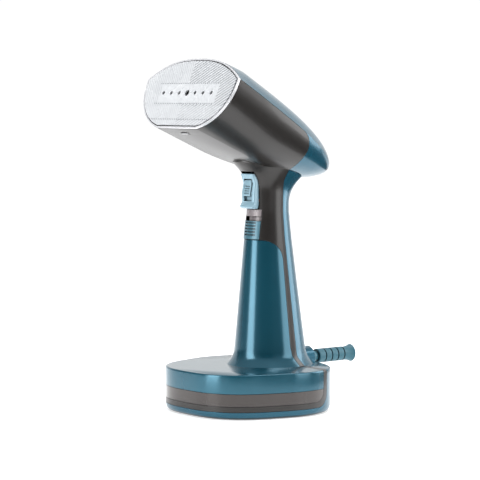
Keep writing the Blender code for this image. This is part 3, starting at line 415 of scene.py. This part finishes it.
def rod_cutter(start, end, radius, end_radius=None, sides=48):
    """A cylinder or cone between two points."""
    start, end = Vector(start), Vector(end)
    bm = bmesh.new()
    far = radius if end_radius is None else end_radius
    bmesh.ops.create_cone(
        bm, cap_ends=True, segments=sides, radius1=radius, radius2=far, depth=(end - start).length
    )
    turn = Vector((0, 0, 1)).rotation_difference(end - start).to_matrix().to_4x4()
    bmesh.ops.transform(bm, matrix=Matrix.Translation((start + end) / 2) @ turn, verts=bm.verts)
    return from_bmesh(bm, "rod")


def combine(obj, other, operation):
    """Applies one Boolean and files the other object with the cutters."""
    step = obj.modifiers.new("cut", "BOOLEAN")
    step.operation = operation
    step.object = guide(other)
    return obj


def cut(obj, *others):
    for other in others:
        combine(obj, other, "DIFFERENCE")
    return obj


def join(obj, *others):
    for other in others:
        combine(obj, other, "UNION")
    return obj


def keep(obj, *others):
    for other in others:
        combine(obj, other, "INTERSECT")
    return obj


def bake(obj):
    """Makes the evaluated shape the object's own mesh, and clears its modifiers and helpers."""
    bpy.context.view_layer.update()
    graph = bpy.context.evaluated_depsgraph_get()
    mesh = bpy.data.meshes.new_from_object(obj.evaluated_get(graph))
    helpers = [step.object for step in obj.modifiers if step.type == "BOOLEAN"]
    obj.modifiers.clear()
    obj.data = mesh
    for helper in helpers:
        if helper.users <= 1 + len(helper.users_collection):
            bpy.data.objects.remove(helper, do_unlink=True)
    return obj


def soften(obj, width, segments=3, angle=radians(35)):
    """Rounded edges."""
    edge = obj.modifiers.new("edges", "BEVEL")
    edge.width = width
    edge.segments = segments
    edge.limit_method = "ANGLE"
    edge.angle_limit = angle
    return obj


def smooth(obj, angle=radians(30)):
    obj.data.shade_smooth()
    obj.data.set_sharp_from_angle(angle=angle)
    return obj


# The head
def head_point(u, s, v):
    """The point u across, s along the head axis from the face, and v over that axis."""
    y = FACE_CENTRE.y + s * cos(TILT) + v * sin(TILT)
    z = FACE_CENTRE.z - s * sin(TILT) + v * cos(TILT)
    return Vector((u, y, z))


def rounding(s):
    """How far the section has closed in towards the tail, 1 on the body and 0 at the tip."""
    share = min(max(s / HEAD_LENGTH, 0.0), 1.0)
    return max(1 - share**4.2, 0.0) ** 0.4545


def head_section(s, inset=0.0, top_points=17, side_points=16):
    """Half outline (u, v) from the crown over the corner to the keel."""
    r = rounding(s + inset)
    width = (HEAD_HALF_WIDTH - 0.18 * s) * r - inset
    crown = HEAD_TIP_V + (0.0358 - 0.080 * s) * r - inset
    corner = HEAD_TIP_V + (0.017 - 0.06 * s) * r - inset * 0.3
    keel = HEAD_TIP_V - 0.028 * r**1.7 + inset
    narrowing = min(max((s - 0.055) / 0.075, 0.0), 1.0)
    flat = 0.027 * (1 - narrowing**1.3) * r
    fullness = 2.6 + 1.5 * min(max(s, 0.0) / 0.016, 1.0)
    half = []
    for i in range(top_points):
        share = i / (top_points - 1)
        half.append((width * share, crown - (crown - corner) * share**fullness))
    shoulder = corner - 0.004 * r
    depth = shoulder - keel
    extra = 0.0012 * (1 - narrowing)
    reach = (1 - (depth / (depth + extra)) ** 2) ** 0.5 if extra else 0.0
    middle = (flat - reach * width) / (1 - reach)
    for i in range(side_points):
        angle = i / (side_points - 1) * pi / 2
        drop = depth * sin(angle)
        half.append((middle + (width - middle) * (1 - (drop / (depth + extra)) ** 2) ** 0.5, shoulder - drop))
    return half


def head_ring(s, inset=0.0):
    half = head_section(s, inset)
    left = [(-u, v) for u, v in reversed(half[1:])]
    return [head_point(u, s, v) for u, v in half + left]


def steps_between(low, high, count):
    return [low + (high - low) * i / count for i in range(count + 1)]


HEAD_STATIONS = tuple(
    steps_between(0.0, 0.115, 15) + [HEAD_LENGTH - 0.0465 * (1 - i / 14) ** 2 - 0.0006 for i in range(1, 15)]
)


def head_solid(inset=0.0, start=0.0, end=None):
    stations = [start] + [s for s in HEAD_STATIONS if s > start + 0.001]
    if end is not None:
        stations = [s for s in stations if s < end - 0.001] + [end]
    elif inset:
        stations = [s for s in stations if s < HEAD_LENGTH - inset - 0.0045] + [HEAD_LENGTH - inset - 0.0015]
    return loft("head", [head_ring(s, inset) for s in stations])


def handle_axis(z):
    return 0.011 + 0.024 * max(0.150 - z, 0.0)


def handle_radius(z):
    drop = max(0.170 - z, 0.0)
    return 0.0185 + 0.1014 * drop + 0.0546 * drop**2


def flare(z, level, depth, amount):
    """Extra reach that grows towards a neighbouring surface."""
    return amount * (max(depth - abs(level - z), 0.0) / depth) ** 2


def handle_ring(z, inset=0.0, points=72):
    radius = handle_radius(z)
    foot = flare(z, BASE_TOP, 0.012, 0.0055) if z >= BASE_TOP else 0.0055
    neck_front = 0.012 * (max(z - 0.192, 0.0) / 0.020) ** 2
    neck_rear = 0.0100 * (max(z - 0.178, 0.0) / 0.018) ** 2
    neck_side = 0.0050 * (max(z - 0.188, 0.0) / 0.020) ** 2
    ring = []
    for i in range(points):
        angle = 2 * pi * i / points
        across = radius * 0.95 + foot + min(neck_side, 0.009) - inset
        along = radius * 1.03 + foot - inset
        along += min(neck_rear, 0.020) if sin(angle) > 0 else min(neck_front, 0.014)
        ring.append(Vector((across * cos(angle), handle_axis(z) + along * sin(angle), z)))
    return ring


HANDLE_STATIONS = tuple(steps_between(0.030, 0.060, 12) + steps_between(0.066, 0.168, 10)
                        + steps_between(0.171, 0.217, 18))


def handle_solid(inset=0.0, bottom=0.030, top=0.217):
    stations = [bottom] + [z for z in HANDLE_STATIONS if bottom + 0.001 < z < top - 0.001] + [top]
    return loft("handle", [handle_ring(z, inset) for z in stations])


def base_half_width(share, inset=0.0):
    """Half width at a share of the half length, -1 at the front and 1 at the rear."""
    bluntness = 3.95 if share < 0 else 1.57
    closing = max(1 - abs(share) ** bluntness, 0.0) ** 0.355
    return (BASE_HALF_WIDTH - inset) * (1 + BASE_TAPER * share) * closing


def base_ring(z, inset=0.0, steps=60):
    middle = (BASE_FRONT + BASE_REAR) / 2
    reach = (BASE_REAR - BASE_FRONT) / 2 - inset
    shares = [sin(pi / 2 * (2 * (i + 0.5) / steps - 1)) for i in range(steps)]
    right = [Vector((base_half_width(t, inset), middle + reach * t, z)) for t in shares]
    left = [Vector((-point.x, point.y, z)) for point in reversed(right)]
    return right + left


def base_solid(inset=0.0, bottom=0.0, top=BASE_TOP):
    if inset:
        return loft("base", [base_ring(bottom, inset), base_ring(top, inset)])
    edge = ((0.0, 0.0045), (0.0004, 0.0032), (0.0010, 0.0022), (0.0020, 0.0013), (0.0030, 0.0008),
            (0.0045, 0.0004), (0.0060, 0.0002), (0.0365, 0.0), (0.0372, 0.0001), (0.0377, 0.0004),
            (0.0380, 0.0009))
    return loft("base", [base_ring(z, turn) for z, turn in edge])


def arc(centre, radius, start, end, steps=14):
    turns = [start + (end - start) * i / steps for i in range(steps + 1)]
    return [(centre[0] + radius * cos(radians(t)), centre[1] + radius * sin(radians(t))) for t in turns]


def side_of_head(s, v):
    point = head_point(0, s, v)
    return (point.y, point.z)


def seam_height(s):
    """Height of the bronze and blue seam over the head axis."""
    return 0.0130 - 0.066 * s


def tank_outline(grow):
    """Outline of the removable tank, in the foot and up the front of the handle."""
    rear = [(handle_axis(z) - 0.0005 + grow, z) for z in (0.055, 0.095, 0.128)]
    turn = 0.0100 + grow
    crown = arc((rear[-1][0] - 0.0180 - grow, TANK_TOP - 0.0180), 0.0180 + grow, 0, 90)
    return (
        [(-0.110, TANK_BOTTOM - grow)]
        + arc((TANK_REAR - 0.010, TANK_BOTTOM + 0.010), turn, -90, 0)
        + [(TANK_REAR + grow, 0.036), (0.0145 + grow, 0.046)]
        + rear
        + crown
        + [(-0.110, TANK_TOP + grow)]
    )


def frame_outline(grow):
    """Outline of everything inside the bronze frame: foot frame, handle front and head underside."""
    rear = [(handle_axis(z) + 0.003 + 0.03 * (0.150 - z) + grow, z) for z in (0.055, 0.100, 0.150)]
    head = []
    for degrees in range(0, 91, 6):
        s = SEAM_CORNER_S - 0.014 + (0.014 + grow) * cos(radians(degrees))
        v = -0.0075 + (0.014 + grow) * sin(radians(degrees))
        head.append(side_of_head(s, v))
    head[-1] = side_of_head(SEAM_CORNER_S - 0.014, seam_height(SEAM_CORNER_S - 0.014) + grow)
    return (
        [(-0.140, SHOE_TOP - grow)]
        + arc((FRAME_REAR - 0.0125, SHOE_TOP + 0.0125), 0.0125 + grow, -90, 0)
        + [(FRAME_REAR + grow, 0.036), (0.0195 + grow, 0.046)]
        + rear
        + [(0.0140 + grow, 0.1700), (0.0140 + grow, 0.1985), side_of_head(SEAM_CORNER_S + grow, -0.020)]
        + head
        + [side_of_head(-0.010, seam_height(-0.010) + grow), (-0.140, 0.300)]
    )


def frame_prism(grow):
    return prism("frame_zone", frame_outline(grow), SIDE)


def tank_prism(grow):
    return prism("tank_zone", tank_outline(grow), SIDE)


def cavity_behind_tank():
    """Channel up the rear of the handle, closed off from the tank by a bulkhead, open into the head."""
    channel = handle_solid(inset=WALL, bottom=0.0445, top=0.2155)
    wall = 0.0025
    outline = [(handle_axis(z) + wall, z) for z in (0.040, 0.055, 0.095, 0.130)]
    outline += [(handle_axis(0.148) + wall, TANK_TOP + 0.0010), (-0.045, TANK_TOP + 0.0010)]
    outline += [(-0.045, 0.230), (0.075, 0.230), (0.075, 0.040)]
    return keep(channel, prism("channel", outline, SIDE))


def front_opening(low, high, half):
    """Cutter for the opening in the front wall of the handle."""
    return box_cutter((-half, -0.045, low), (half, handle_axis(low) - 0.0115, high))


def make_main_housing():
    """Bronze housing: head sides and underside, handle sides, bulkhead and the frame in the base."""
    body = join(head_solid(start=0.0003), handle_solid(), base_solid())
    keep(body, frame_prism(-LIMIT))
    cut(body, tank_prism(LIMIT), bake(cavity_behind_tank()), head_solid(inset=WALL, start=-0.004))
    cut(body, front_opening(TANK_TOP - 0.0010, TRIGGER_BOTTOM - GAP, LATCH_HALF + GAP))
    cut(body, front_opening(TRIGGER_BOTTOM - 0.0010, TRIGGER_TOP + GAP, TRIGGER_HALF + 0.0004))
    cut(body, rod_cutter((-0.0110, PIN_Y, PIN_Z), (0.0110, PIN_Y, PIN_Z), 0.0014, sides=14))
    cut(body, rod_cutter((0, 0.010, COUPLING_Z), (0, 0.030, COUPLING_Z), 0.0068))
    cut(body, bake(catch_slot()))
    return place(smooth(bake(body)), "main_housing")


def catch_slot():
    """Slot in the head underside for an accessory catch."""
    low, high = side_of_head(0.0075, -0.036), side_of_head(0.0115, -0.028)
    slot = box_cutter((-0.0050, -0.0020, -0.004), (0.0050, 0.0020, 0.004))
    slot.data.transform(Matrix.Rotation(-TILT, 4, "X"))
    slot.data.transform(Matrix.Translation((0, (low[0] + high[0]) / 2, (low[1] + high[1]) / 2)))
    return slot


def make_top_cover():
    """Blue cover over the head, running round the tail."""
    cover = head_solid(start=0.0003)
    cut(cover, frame_prism(LIMIT), head_solid(inset=WALL, start=-0.004))
    return place(smooth(bake(cover)), "top_cover")


def make_rear_shell():
    """Blue spine of the handle with the deck at the rear of the base and the cord boss."""
    shell = join(handle_solid(), base_solid())
    join(shell, rod_cutter((0, 0.032, CORD_AXIS_Z), (0, 0.0570, CORD_AXIS_Z), 0.0100))
    cut(shell, frame_prism(LIMIT))
    cut(shell, box_cutter((-SIDE, -0.100, -0.010), (SIDE, 0.100, REAR_DECK + LIMIT)))
    grown = head_solid(inset=-GAP, start=-0.002, end=HEAD_LENGTH - 0.003)
    cut(shell, grown, handle_solid(inset=WALL, bottom=0.030, top=0.2155))
    cut(shell, rod_cutter((0, 0.030, CORD_AXIS_Z), (0, 0.0560, CORD_AXIS_Z), 0.0078))
    cut(shell, rod_cutter((0, 0.050, CORD_AXIS_Z), (0, 0.0600, CORD_AXIS_Z), 0.0062))
    cut(shell, rod_cutter((0, 0.010, BUTTON_Z), (0, 0.040, BUTTON_Z), 0.0062))
    cut(shell, rod_cutter((0, 0.010, LENS_Z), (0, 0.045, LENS_Z), 0.0018, sides=12))
    return place(smooth(bake(shell)), "rear_shell")


def make_base_shoe():
    """Blue shoe: floor of the base, rim under the frame and wall round the rear."""
    shoe = base_solid()
    cut(shoe, frame_prism(LIMIT))
    cut(shoe, box_cutter((-SIDE, -0.100, REAR_DECK - LIMIT), (SIDE, 0.100, 0.060)))
    cut(shoe, base_solid(inset=0.0045, bottom=0.0025, top=0.050))
    cut(shoe, rod_cutter((0, 0.030, CORD_AXIS_Z), (0, 0.0640, CORD_AXIS_Z), 0.0103))
    cut(shoe, *[rod_cutter((x, y, -0.002), (x, y, 0.0013), 0.0043, sides=16) for x, y in FOOT_PLACES])
    cut(shoe, *[rod_cutter((x, y, -0.002), (x, y, 0.0017), 0.0034, sides=16) for x, y in SCREW_PLACES])
    return place(smooth(bake(shoe)), "base_shoe")


def tank_cavity():
    room = join(handle_solid(inset=0.0020, bottom=0.030, top=0.160),
                base_solid(inset=0.0020, bottom=0.0122, top=0.0358))
    return keep(room, tank_prism(-0.0021))


def make_tank_upper():
    """Translucent blue top of the tank: front of the handle and top of the base."""
    shell = keep(join(handle_solid(), base_solid()), tank_prism(-LIMIT))
    cut(shell, box_cutter((-SIDE, -0.100, -0.010), (SIDE, 0.100, TANK_JOIN + LIMIT)))
    cut(shell, bake(tank_cavity()))
    cut(shell, rod_cutter((0.030, 0.010, 0.029), (0.030, 0.030, 0.029), 0.0054))
    cut(shell, rod_cutter((0, 0.010, COUPLING_Z), (0, 0.030, COUPLING_Z), 0.0034))
    cut(shell, box_cutter((-0.0045, -0.0079, 0.1440), (0.0045, -0.0043, 0.1500)))
    return place(smooth(bake(shell)), "tank_upper_shell")


def make_tank_lower():
    """Smoky bronze floor tray of the tank."""
    tray = keep(base_solid(), tank_prism(-LIMIT))
    cut(tray, box_cutter((-SIDE, -0.100, TANK_JOIN - LIMIT), (SIDE, 0.100, 0.060)))
    cut(tray, bake(tank_cavity()))
    return place(smooth(bake(tray)), "tank_lower_shell")


def ring_solid(name, start, end, outer, inner):
    """A flat ring that follows the outline of the head."""
    body = loft(name, [head_ring_at(start, outer), head_ring_at(end, outer)])
    hole = loft(name, [head_ring_at(start - 0.004, inner), head_ring_at(end + 0.004, inner)])
    return cut(body, hole)


def head_ring_at(s, inset):
    """Outline of the face carried along the head axis without taper."""
    half = head_section(0.0, inset)
    left = [(-u, v) for u, v in reversed(half[1:])]
    return [head_point(u, s, v) for u, v in half + left]


def face_plate_solid(start, end, inset):
    return loft("plate", [head_ring_at(start, inset), head_ring_at(end, inset)])


def steam_holes(start, end, radius, centre_radius, sides=32):
    holes = []
    for i in range(-3, 4):
        size = centre_radius if i == 0 else radius
        across = i * HOLE_PITCH
        holes.append(rod_cutter(head_point(across, start, 0), head_point(across, end, 0), size, sides=sides))
    return holes


def make_bezel():
    """Bright ring round the steam plate: a lip, a web behind the plate and a sleeve inside the casings."""
    lip = bake(ring_solid("lip", -0.0020, 0.0, 0.0002, 0.0015))
    web = bake(ring_solid("web", -0.0008, 0.0, 0.0003, 0.0038))
    sleeve = bake(ring_solid("sleeve", -0.0004, 0.0016, 0.0027, 0.0038))
    return place(smooth(bake(join(lip, web, sleeve))), "bezel_ring")


def make_face_plate():
    plate = face_plate_solid(-0.0026, -0.0011, 0.0025)
    cut(plate, *steam_holes(-0.006, 0.004, 0.0018, 0.0028))
    return place(smooth(bake(soften(bake(plate), 0.0004))), "steam_plate")


def handle_strip(low, high, half, depth, proud=0.0):
    """A strip of the handle's front wall, depth deep and proud of the wall by the given amount."""
    strip = handle_solid(inset=-proud, bottom=low, top=high)
    cut(strip, handle_solid(inset=depth, bottom=low - 0.004, top=high + 0.004))
    front = handle_axis(low) - 0.0115 - 0.0004
    return keep(strip, box_cutter((-half, -0.060, low - 0.010), (half, front, high + 0.010)))


def make_latch():
    """Ribbed slider that lets go of the tank."""
    latch = bake(handle_strip(TANK_TOP + 0.0007, LATCH_TOP, LATCH_HALF - 0.0002, 0.0026, proud=0.0005))
    ribs = []
    for i in range(5):
        z = TANK_TOP + 0.0038 + 0.0026 * i
        ribs.append(handle_rib(z, 0.0013, 0.0070))
    cut(latch, *ribs)
    hook = box_cutter((-0.0040, -0.0074, TANK_TOP - 0.0022), (0.0040, -0.0048, TANK_TOP + 0.0050))
    web = box_cutter((-0.0036, -0.0094, TANK_TOP + 0.0012), (0.0036, -0.0052, TANK_TOP + 0.0046))
    seat = box_cutter((-0.0030, -0.0078, 0.1503), (0.0030, 0.0030, 0.1516))
    return place(smooth(bake(join(latch, web, hook, seat))), "tank_latch")


def handle_rib(z, height, half):
    """Cutter for one shallow groove round the handle's front."""
    groove = handle_solid(inset=-0.0030, bottom=z, top=z + height)
    cut(groove, handle_solid(inset=0.0006, bottom=z - 0.004, top=z + height + 0.004))
    keep(groove, box_cutter((-half, -0.060, z - 0.005), (half, 0.0, z + height + 0.005)))
    return bake(groove)


def make_front_panel():
    """Panel between trigger and latch, with a recessed tongue that the latch slides over."""
    panel = bake(handle_strip(PANEL_BOTTOM, PANEL_TOP, LATCH_HALF - 0.0002, 0.0038))
    tongue = bake(handle_strip(0.1575, PANEL_BOTTOM + 0.0012, 0.0085, 0.0048, proud=-0.0031))
    ledge = box_cutter((-0.0030, -0.0070, PANEL_BOTTOM), (0.0030, 0.0030, PANEL_BOTTOM + 0.0014))
    return place(smooth(bake(join(panel, tongue, ledge))), "front_panel")


def front_of_handle(z):
    return min(p.y for p in handle_ring(z))


def trigger_outline():
    """Side outline of the trigger: flush at the top, proud at its lower lip."""
    face = [(front_of_handle(0.2045) - 0.0002, 0.2045), (front_of_handle(0.196) - 0.0014, 0.1960),
            (front_of_handle(0.188) - 0.0034, 0.1880), (-0.0112, 0.1800), (-0.0140, 0.1755),
            (-0.0120, TRIGGER_BOTTOM)]
    back = [(-0.0062, TRIGGER_BOTTOM), (-0.0052, 0.1785), (-0.0052, 0.1990), (-0.0088, 0.2045)]
    return face + back


def make_trigger():
    trigger = bake(soften(prism("trigger", trigger_outline(), TRIGGER_HALF), 0.0018, segments=2))
    slot = box_cutter((-LOCK_HALF - 0.0009, -0.040, LOCK_LOW - 0.0045),
                      (LOCK_HALF + 0.0009, -0.0085, LOCK_HIGH + 0.0009))
    ear = TRIGGER_HALF - 0.0012
    ears = [rod_cutter((-ear, PIN_Y, PIN_Z), (ear, PIN_Y, PIN_Z), 0.0026, sides=16)]
    cut(join(trigger, *ears), slot)
    cut(trigger, rod_cutter((-0.012, PIN_Y, PIN_Z), (0.012, PIN_Y, PIN_Z), 0.0012, sides=14))
    return place(smooth(bake(trigger)), "trigger")


def make_trigger_lock():
    face = [(front_of_handle(z) - proud, z) for z, proud in
            ((LOCK_HIGH, 0.0014), (0.1935, 0.0030), (0.1890, 0.0042), (LOCK_LOW, 0.0050))]
    outline = face + [(-0.0088, LOCK_LOW), (-0.0088, LOCK_HIGH)]
    lock = bake(soften(prism("lock", outline, LOCK_HALF), 0.0007))
    ridges = [box_cutter((-0.0030, -0.040, z), (0.0030, front_of_handle(z) - proud + 0.0006, z + 0.0009))
              for z, proud in ((0.1870, 0.0045), (0.1890, 0.0041), (0.1910, 0.0036), (0.1930, 0.0031))]
    return place(smooth(bake(cut(lock, *ridges))), "trigger_lock")


def rear_of_handle(z):
    return max(p.y for p in handle_ring(z))


def make_power_button():
    rear = rear_of_handle(BUTTON_Z)
    cap = rod_cutter((0, rear - 0.0045, BUTTON_Z), (0, rear + 0.0008, BUTTON_Z), 0.0059, sides=24)
    soften(cap, 0.0006)
    return place(smooth(bake(cap)), "power_button")


def turned(name, profile, height, sides=56):
    """A solid turned about a level axis along Y, from (y, radius) points that start and end on the axis."""
    bm = bmesh.new()
    rows = []
    for y, radius in profile[1:-1]:
        turns = [2 * pi * i / sides for i in range(sides)]
        rows.append([bm.verts.new((radius * cos(t), y, height + radius * sin(t))) for t in turns])
    tips = [bm.verts.new((0, profile[0][0], height)), bm.verts.new((0, profile[-1][0], height))]
    for i in range(sides):
        j = (i + 1) % sides
        for lower, upper in zip(rows, rows[1:]):
            bm.faces.new((lower[i], lower[j], upper[j], upper[i]))
        bm.faces.new((tips[0], rows[0][j], rows[0][i]))
        bm.faces.new((tips[1], rows[-1][i], rows[-1][j]))
    return from_bmesh(bm, name)


def make_cord_guard():
    """Ribbed sleeve with a flared mouth, turning on its ball in the boss."""
    radius = 0.0056
    profile = [(CORD_BALL_Y - radius * cos(radians(t)), radius * sin(radians(t))) for t in range(0, 131, 13)]
    start, end = CORD_BALL_Y + 0.0052, CORD_BALL_Y + 0.0455
    profile += [(start, 0.0042), (start, 0.0060), (start + 0.0006, 0.0064)]
    for i in range(4):
        y = start + 0.0068 + 0.0072 * i
        profile += [(y, 0.0063), (y, 0.0052), (y + 0.0012, 0.0052), (y + 0.0012, 0.0063)]
    profile += [(end - 0.0080, 0.0060), (end - 0.0030, 0.0066), (end, 0.0078)]
    profile += [(end, 0.0058), (end - 0.0060, 0.0036), (start + 0.0060, 0.0034), (start + 0.0060, 0.0)]
    return place(smooth(turned("guard", profile, CORD_AXIS_Z)), "cord_guard")


make_main_housing()
make_top_cover()
make_rear_shell()
make_base_shoe()
make_tank_upper()
make_tank_lower()
make_bezel()
make_face_plate()
make_latch()
make_front_panel()
make_trigger()
make_trigger_lock()
make_power_button()
make_cord_guard()
for name, node in frame["nodes"].items():
    node.data.materials.clear()
    node.data.materials.append(MATERIALS[SLOT_OF[name]])
for helper in list(CUTTERS.objects):
    bpy.data.objects.remove(helper, do_unlink=True)


# Floor, light and camera
def plain(name, colour, roughness):
    made = bpy.data.materials.new(name)
    made.use_nodes = True
    shader = made.node_tree.nodes["Principled BSDF"]
    shader.inputs["Base Color"].default_value = (*colour, 1.0)
    shader.inputs["Roughness"].default_value = roughness
    return made


def glowing(name, colour, roughness, strength):
    """Plain paper that also gives off white light."""
    made = plain(name, colour, roughness)
    shader = made.node_tree.nodes["Principled BSDF"]
    shader.inputs["Emission Color"].default_value = (1.0, 1.0, 1.0, 1.0)
    shader.inputs["Emission Strength"].default_value = strength
    return made


def sheet(name, bm, material):
    """One flat object of the studio."""
    mesh = bpy.data.meshes.new(name)
    bm.to_mesh(mesh)
    bm.free()
    mesh.materials.append(material)
    obj = bpy.data.objects.new(name, mesh)
    bpy.context.scene.collection.objects.link(obj)
    return obj


def make_floor():
    bm = bmesh.new()
    bmesh.ops.create_grid(bm, x_segments=1, y_segments=1, size=6.0)
    floor = sheet("floor", bm, glowing("floor", (0.90, 0.90, 0.90), 0.6, 0.50))
    floor.location = (0, 0, -0.0002)


def make_light(name, spot, aim, size, power, colour=(1.0, 1.0, 1.0), height=None):
    data = bpy.data.lights.new(name, "AREA")
    data.shape = "RECTANGLE"
    data.size = size
    data.size_y = height or size
    data.energy = power
    data.color = colour
    lamp = bpy.data.objects.new(name, data)
    bpy.context.scene.collection.objects.link(lamp)
    lamp.location = spot
    lamp.rotation_euler = (Vector(aim) - Vector(spot)).to_track_quat("-Z", "Y").to_euler()


AZIMUTH, PITCH, DISTANCE = radians(52.0), radians(3.9), 1.8
SIDEWAYS, MIDDLE = -0.0155, 0.1464
RIGHT = Vector((cos(AZIMUTH), sin(AZIMUTH), 0))
AHEAD = Vector((-sin(AZIMUTH) * cos(PITCH), cos(AZIMUTH) * cos(PITCH), -sin(PITCH)))


def around(side, back, up):
    """A point beside, behind and above the object, as the camera sees it."""
    flat = Vector((AHEAD.x, AHEAD.y, 0)).normalized()
    return RIGHT * side + flat * back + Vector((0, 0, up))


def make_camera():
    data = bpy.data.cameras.new("camera")
    data.lens = 155.25
    data.sensor_width = 36.0
    camera = bpy.data.objects.new("camera", data)
    bpy.context.scene.collection.objects.link(camera)
    up = RIGHT.cross(AHEAD)
    turn = Matrix((RIGHT, up, -AHEAD)).transposed().to_4x4()
    spot = Vector((0, 0, MIDDLE)) + RIGHT * SIDEWAYS - AHEAD * DISTANCE
    camera.matrix_world = Matrix.Translation(spot) @ turn
    bpy.context.scene.camera = camera


def make_world():
    """Studio: bright overhead and dim at eye level in reflections, plain white to the camera."""
    world = bpy.data.worlds.new("studio")
    world.use_nodes = True
    tree = world.node_tree
    coordinates = tree.nodes.new("ShaderNodeTexCoord")
    split = tree.nodes.new("ShaderNodeSeparateXYZ")
    ramp = tree.nodes.new("ShaderNodeValToRGB")
    tree.links.new(coordinates.outputs["Generated"], split.inputs[0])
    tree.links.new(split.outputs["Z"], ramp.inputs["Fac"])
    ramp.color_ramp.elements[0].position = 0.10
    ramp.color_ramp.elements[0].color = (0.10, 0.10, 0.105, 1.0)
    ramp.color_ramp.elements[1].position = 0.95
    ramp.color_ramp.elements[1].color = (0.95, 0.97, 1.0, 1.0)
    middle = ramp.color_ramp.elements.new(0.42)
    middle.color = (0.30, 0.31, 0.32, 1.0)
    tree.links.new(ramp.outputs["Color"], tree.nodes["Background"].inputs["Color"])
    tree.nodes["Background"].inputs["Strength"].default_value = 0.9
    seen = tree.nodes.new("ShaderNodeLightPath")
    white = tree.nodes.new("ShaderNodeBackground")
    chosen = tree.nodes.new("ShaderNodeMixShader")
    tree.links.new(seen.outputs["Is Camera Ray"], chosen.inputs[0])
    tree.links.new(tree.nodes["Background"].outputs[0], chosen.inputs[1])
    tree.links.new(white.outputs[0], chosen.inputs[2])
    tree.links.new(chosen.outputs[0], tree.nodes["World Output"].inputs["Surface"])
    white.inputs["Color"].default_value = (1.0, 1.0, 1.0, 1.0)
    bpy.context.scene.world = world


def make_backdrop():
    """White paper sweep, far behind the object, that lights nothing."""
    bm = bmesh.new()
    bmesh.ops.create_grid(bm, x_segments=1, y_segments=1, size=8.0)
    paper = sheet("backdrop", bm, glowing("backdrop", (0.0, 0.0, 0.0), 0.5, 1.0))
    flat = Vector((AHEAD.x, AHEAD.y, 0)).normalized()
    side = Vector((0, 0, 1)).cross(flat)
    turn = Matrix((side, Vector((0, 0, 1)), -flat)).transposed().to_4x4()
    paper.matrix_world = Matrix.Translation(flat * 5.5) @ turn
    paper.visible_diffuse = False
    paper.visible_transmission = False


def make_card(corners):
    """Black card beside the object, seen only in its gloss."""
    bm = bmesh.new()
    bm.faces.new([bm.verts.new(corner) for corner in corners])
    card = sheet("card", bm, plain("card", (0.01, 0.01, 0.01), 0.9))
    card.visible_camera = False
    card.visible_diffuse = False
    card.visible_shadow = False


make_floor()
make_world()
make_backdrop()
make_card([around(side, back, 0.001)
           for side, back in ((0.26, -0.9), (1.8, -0.9), (1.8, 0.7), (0.26, 0.7))])
make_card([around(side, -0.95, up)
           for side, up in ((-0.40, 0.002), (0.34, 0.002), (0.34, 0.75), (-0.40, 0.75))])
make_light("key", around(-1.05, -0.62, 0.42), (0, 0, 0.16), 0.60, 12.0, height=1.0)
make_light("strip", around(0.95, -0.42, 0.25), (0, 0, 0.17), 0.50, 5.0, height=0.9)
make_light("side", around(1.0, 0.30, 0.45), (0, 0, 0.20), 0.55, 7.0, height=0.9)
make_light("top", around(0.1, 0.2, 1.3), (0, 0, 0.1), 0.9, 10.0)
make_camera()
bpy.context.scene.view_settings.view_transform = "Standard"
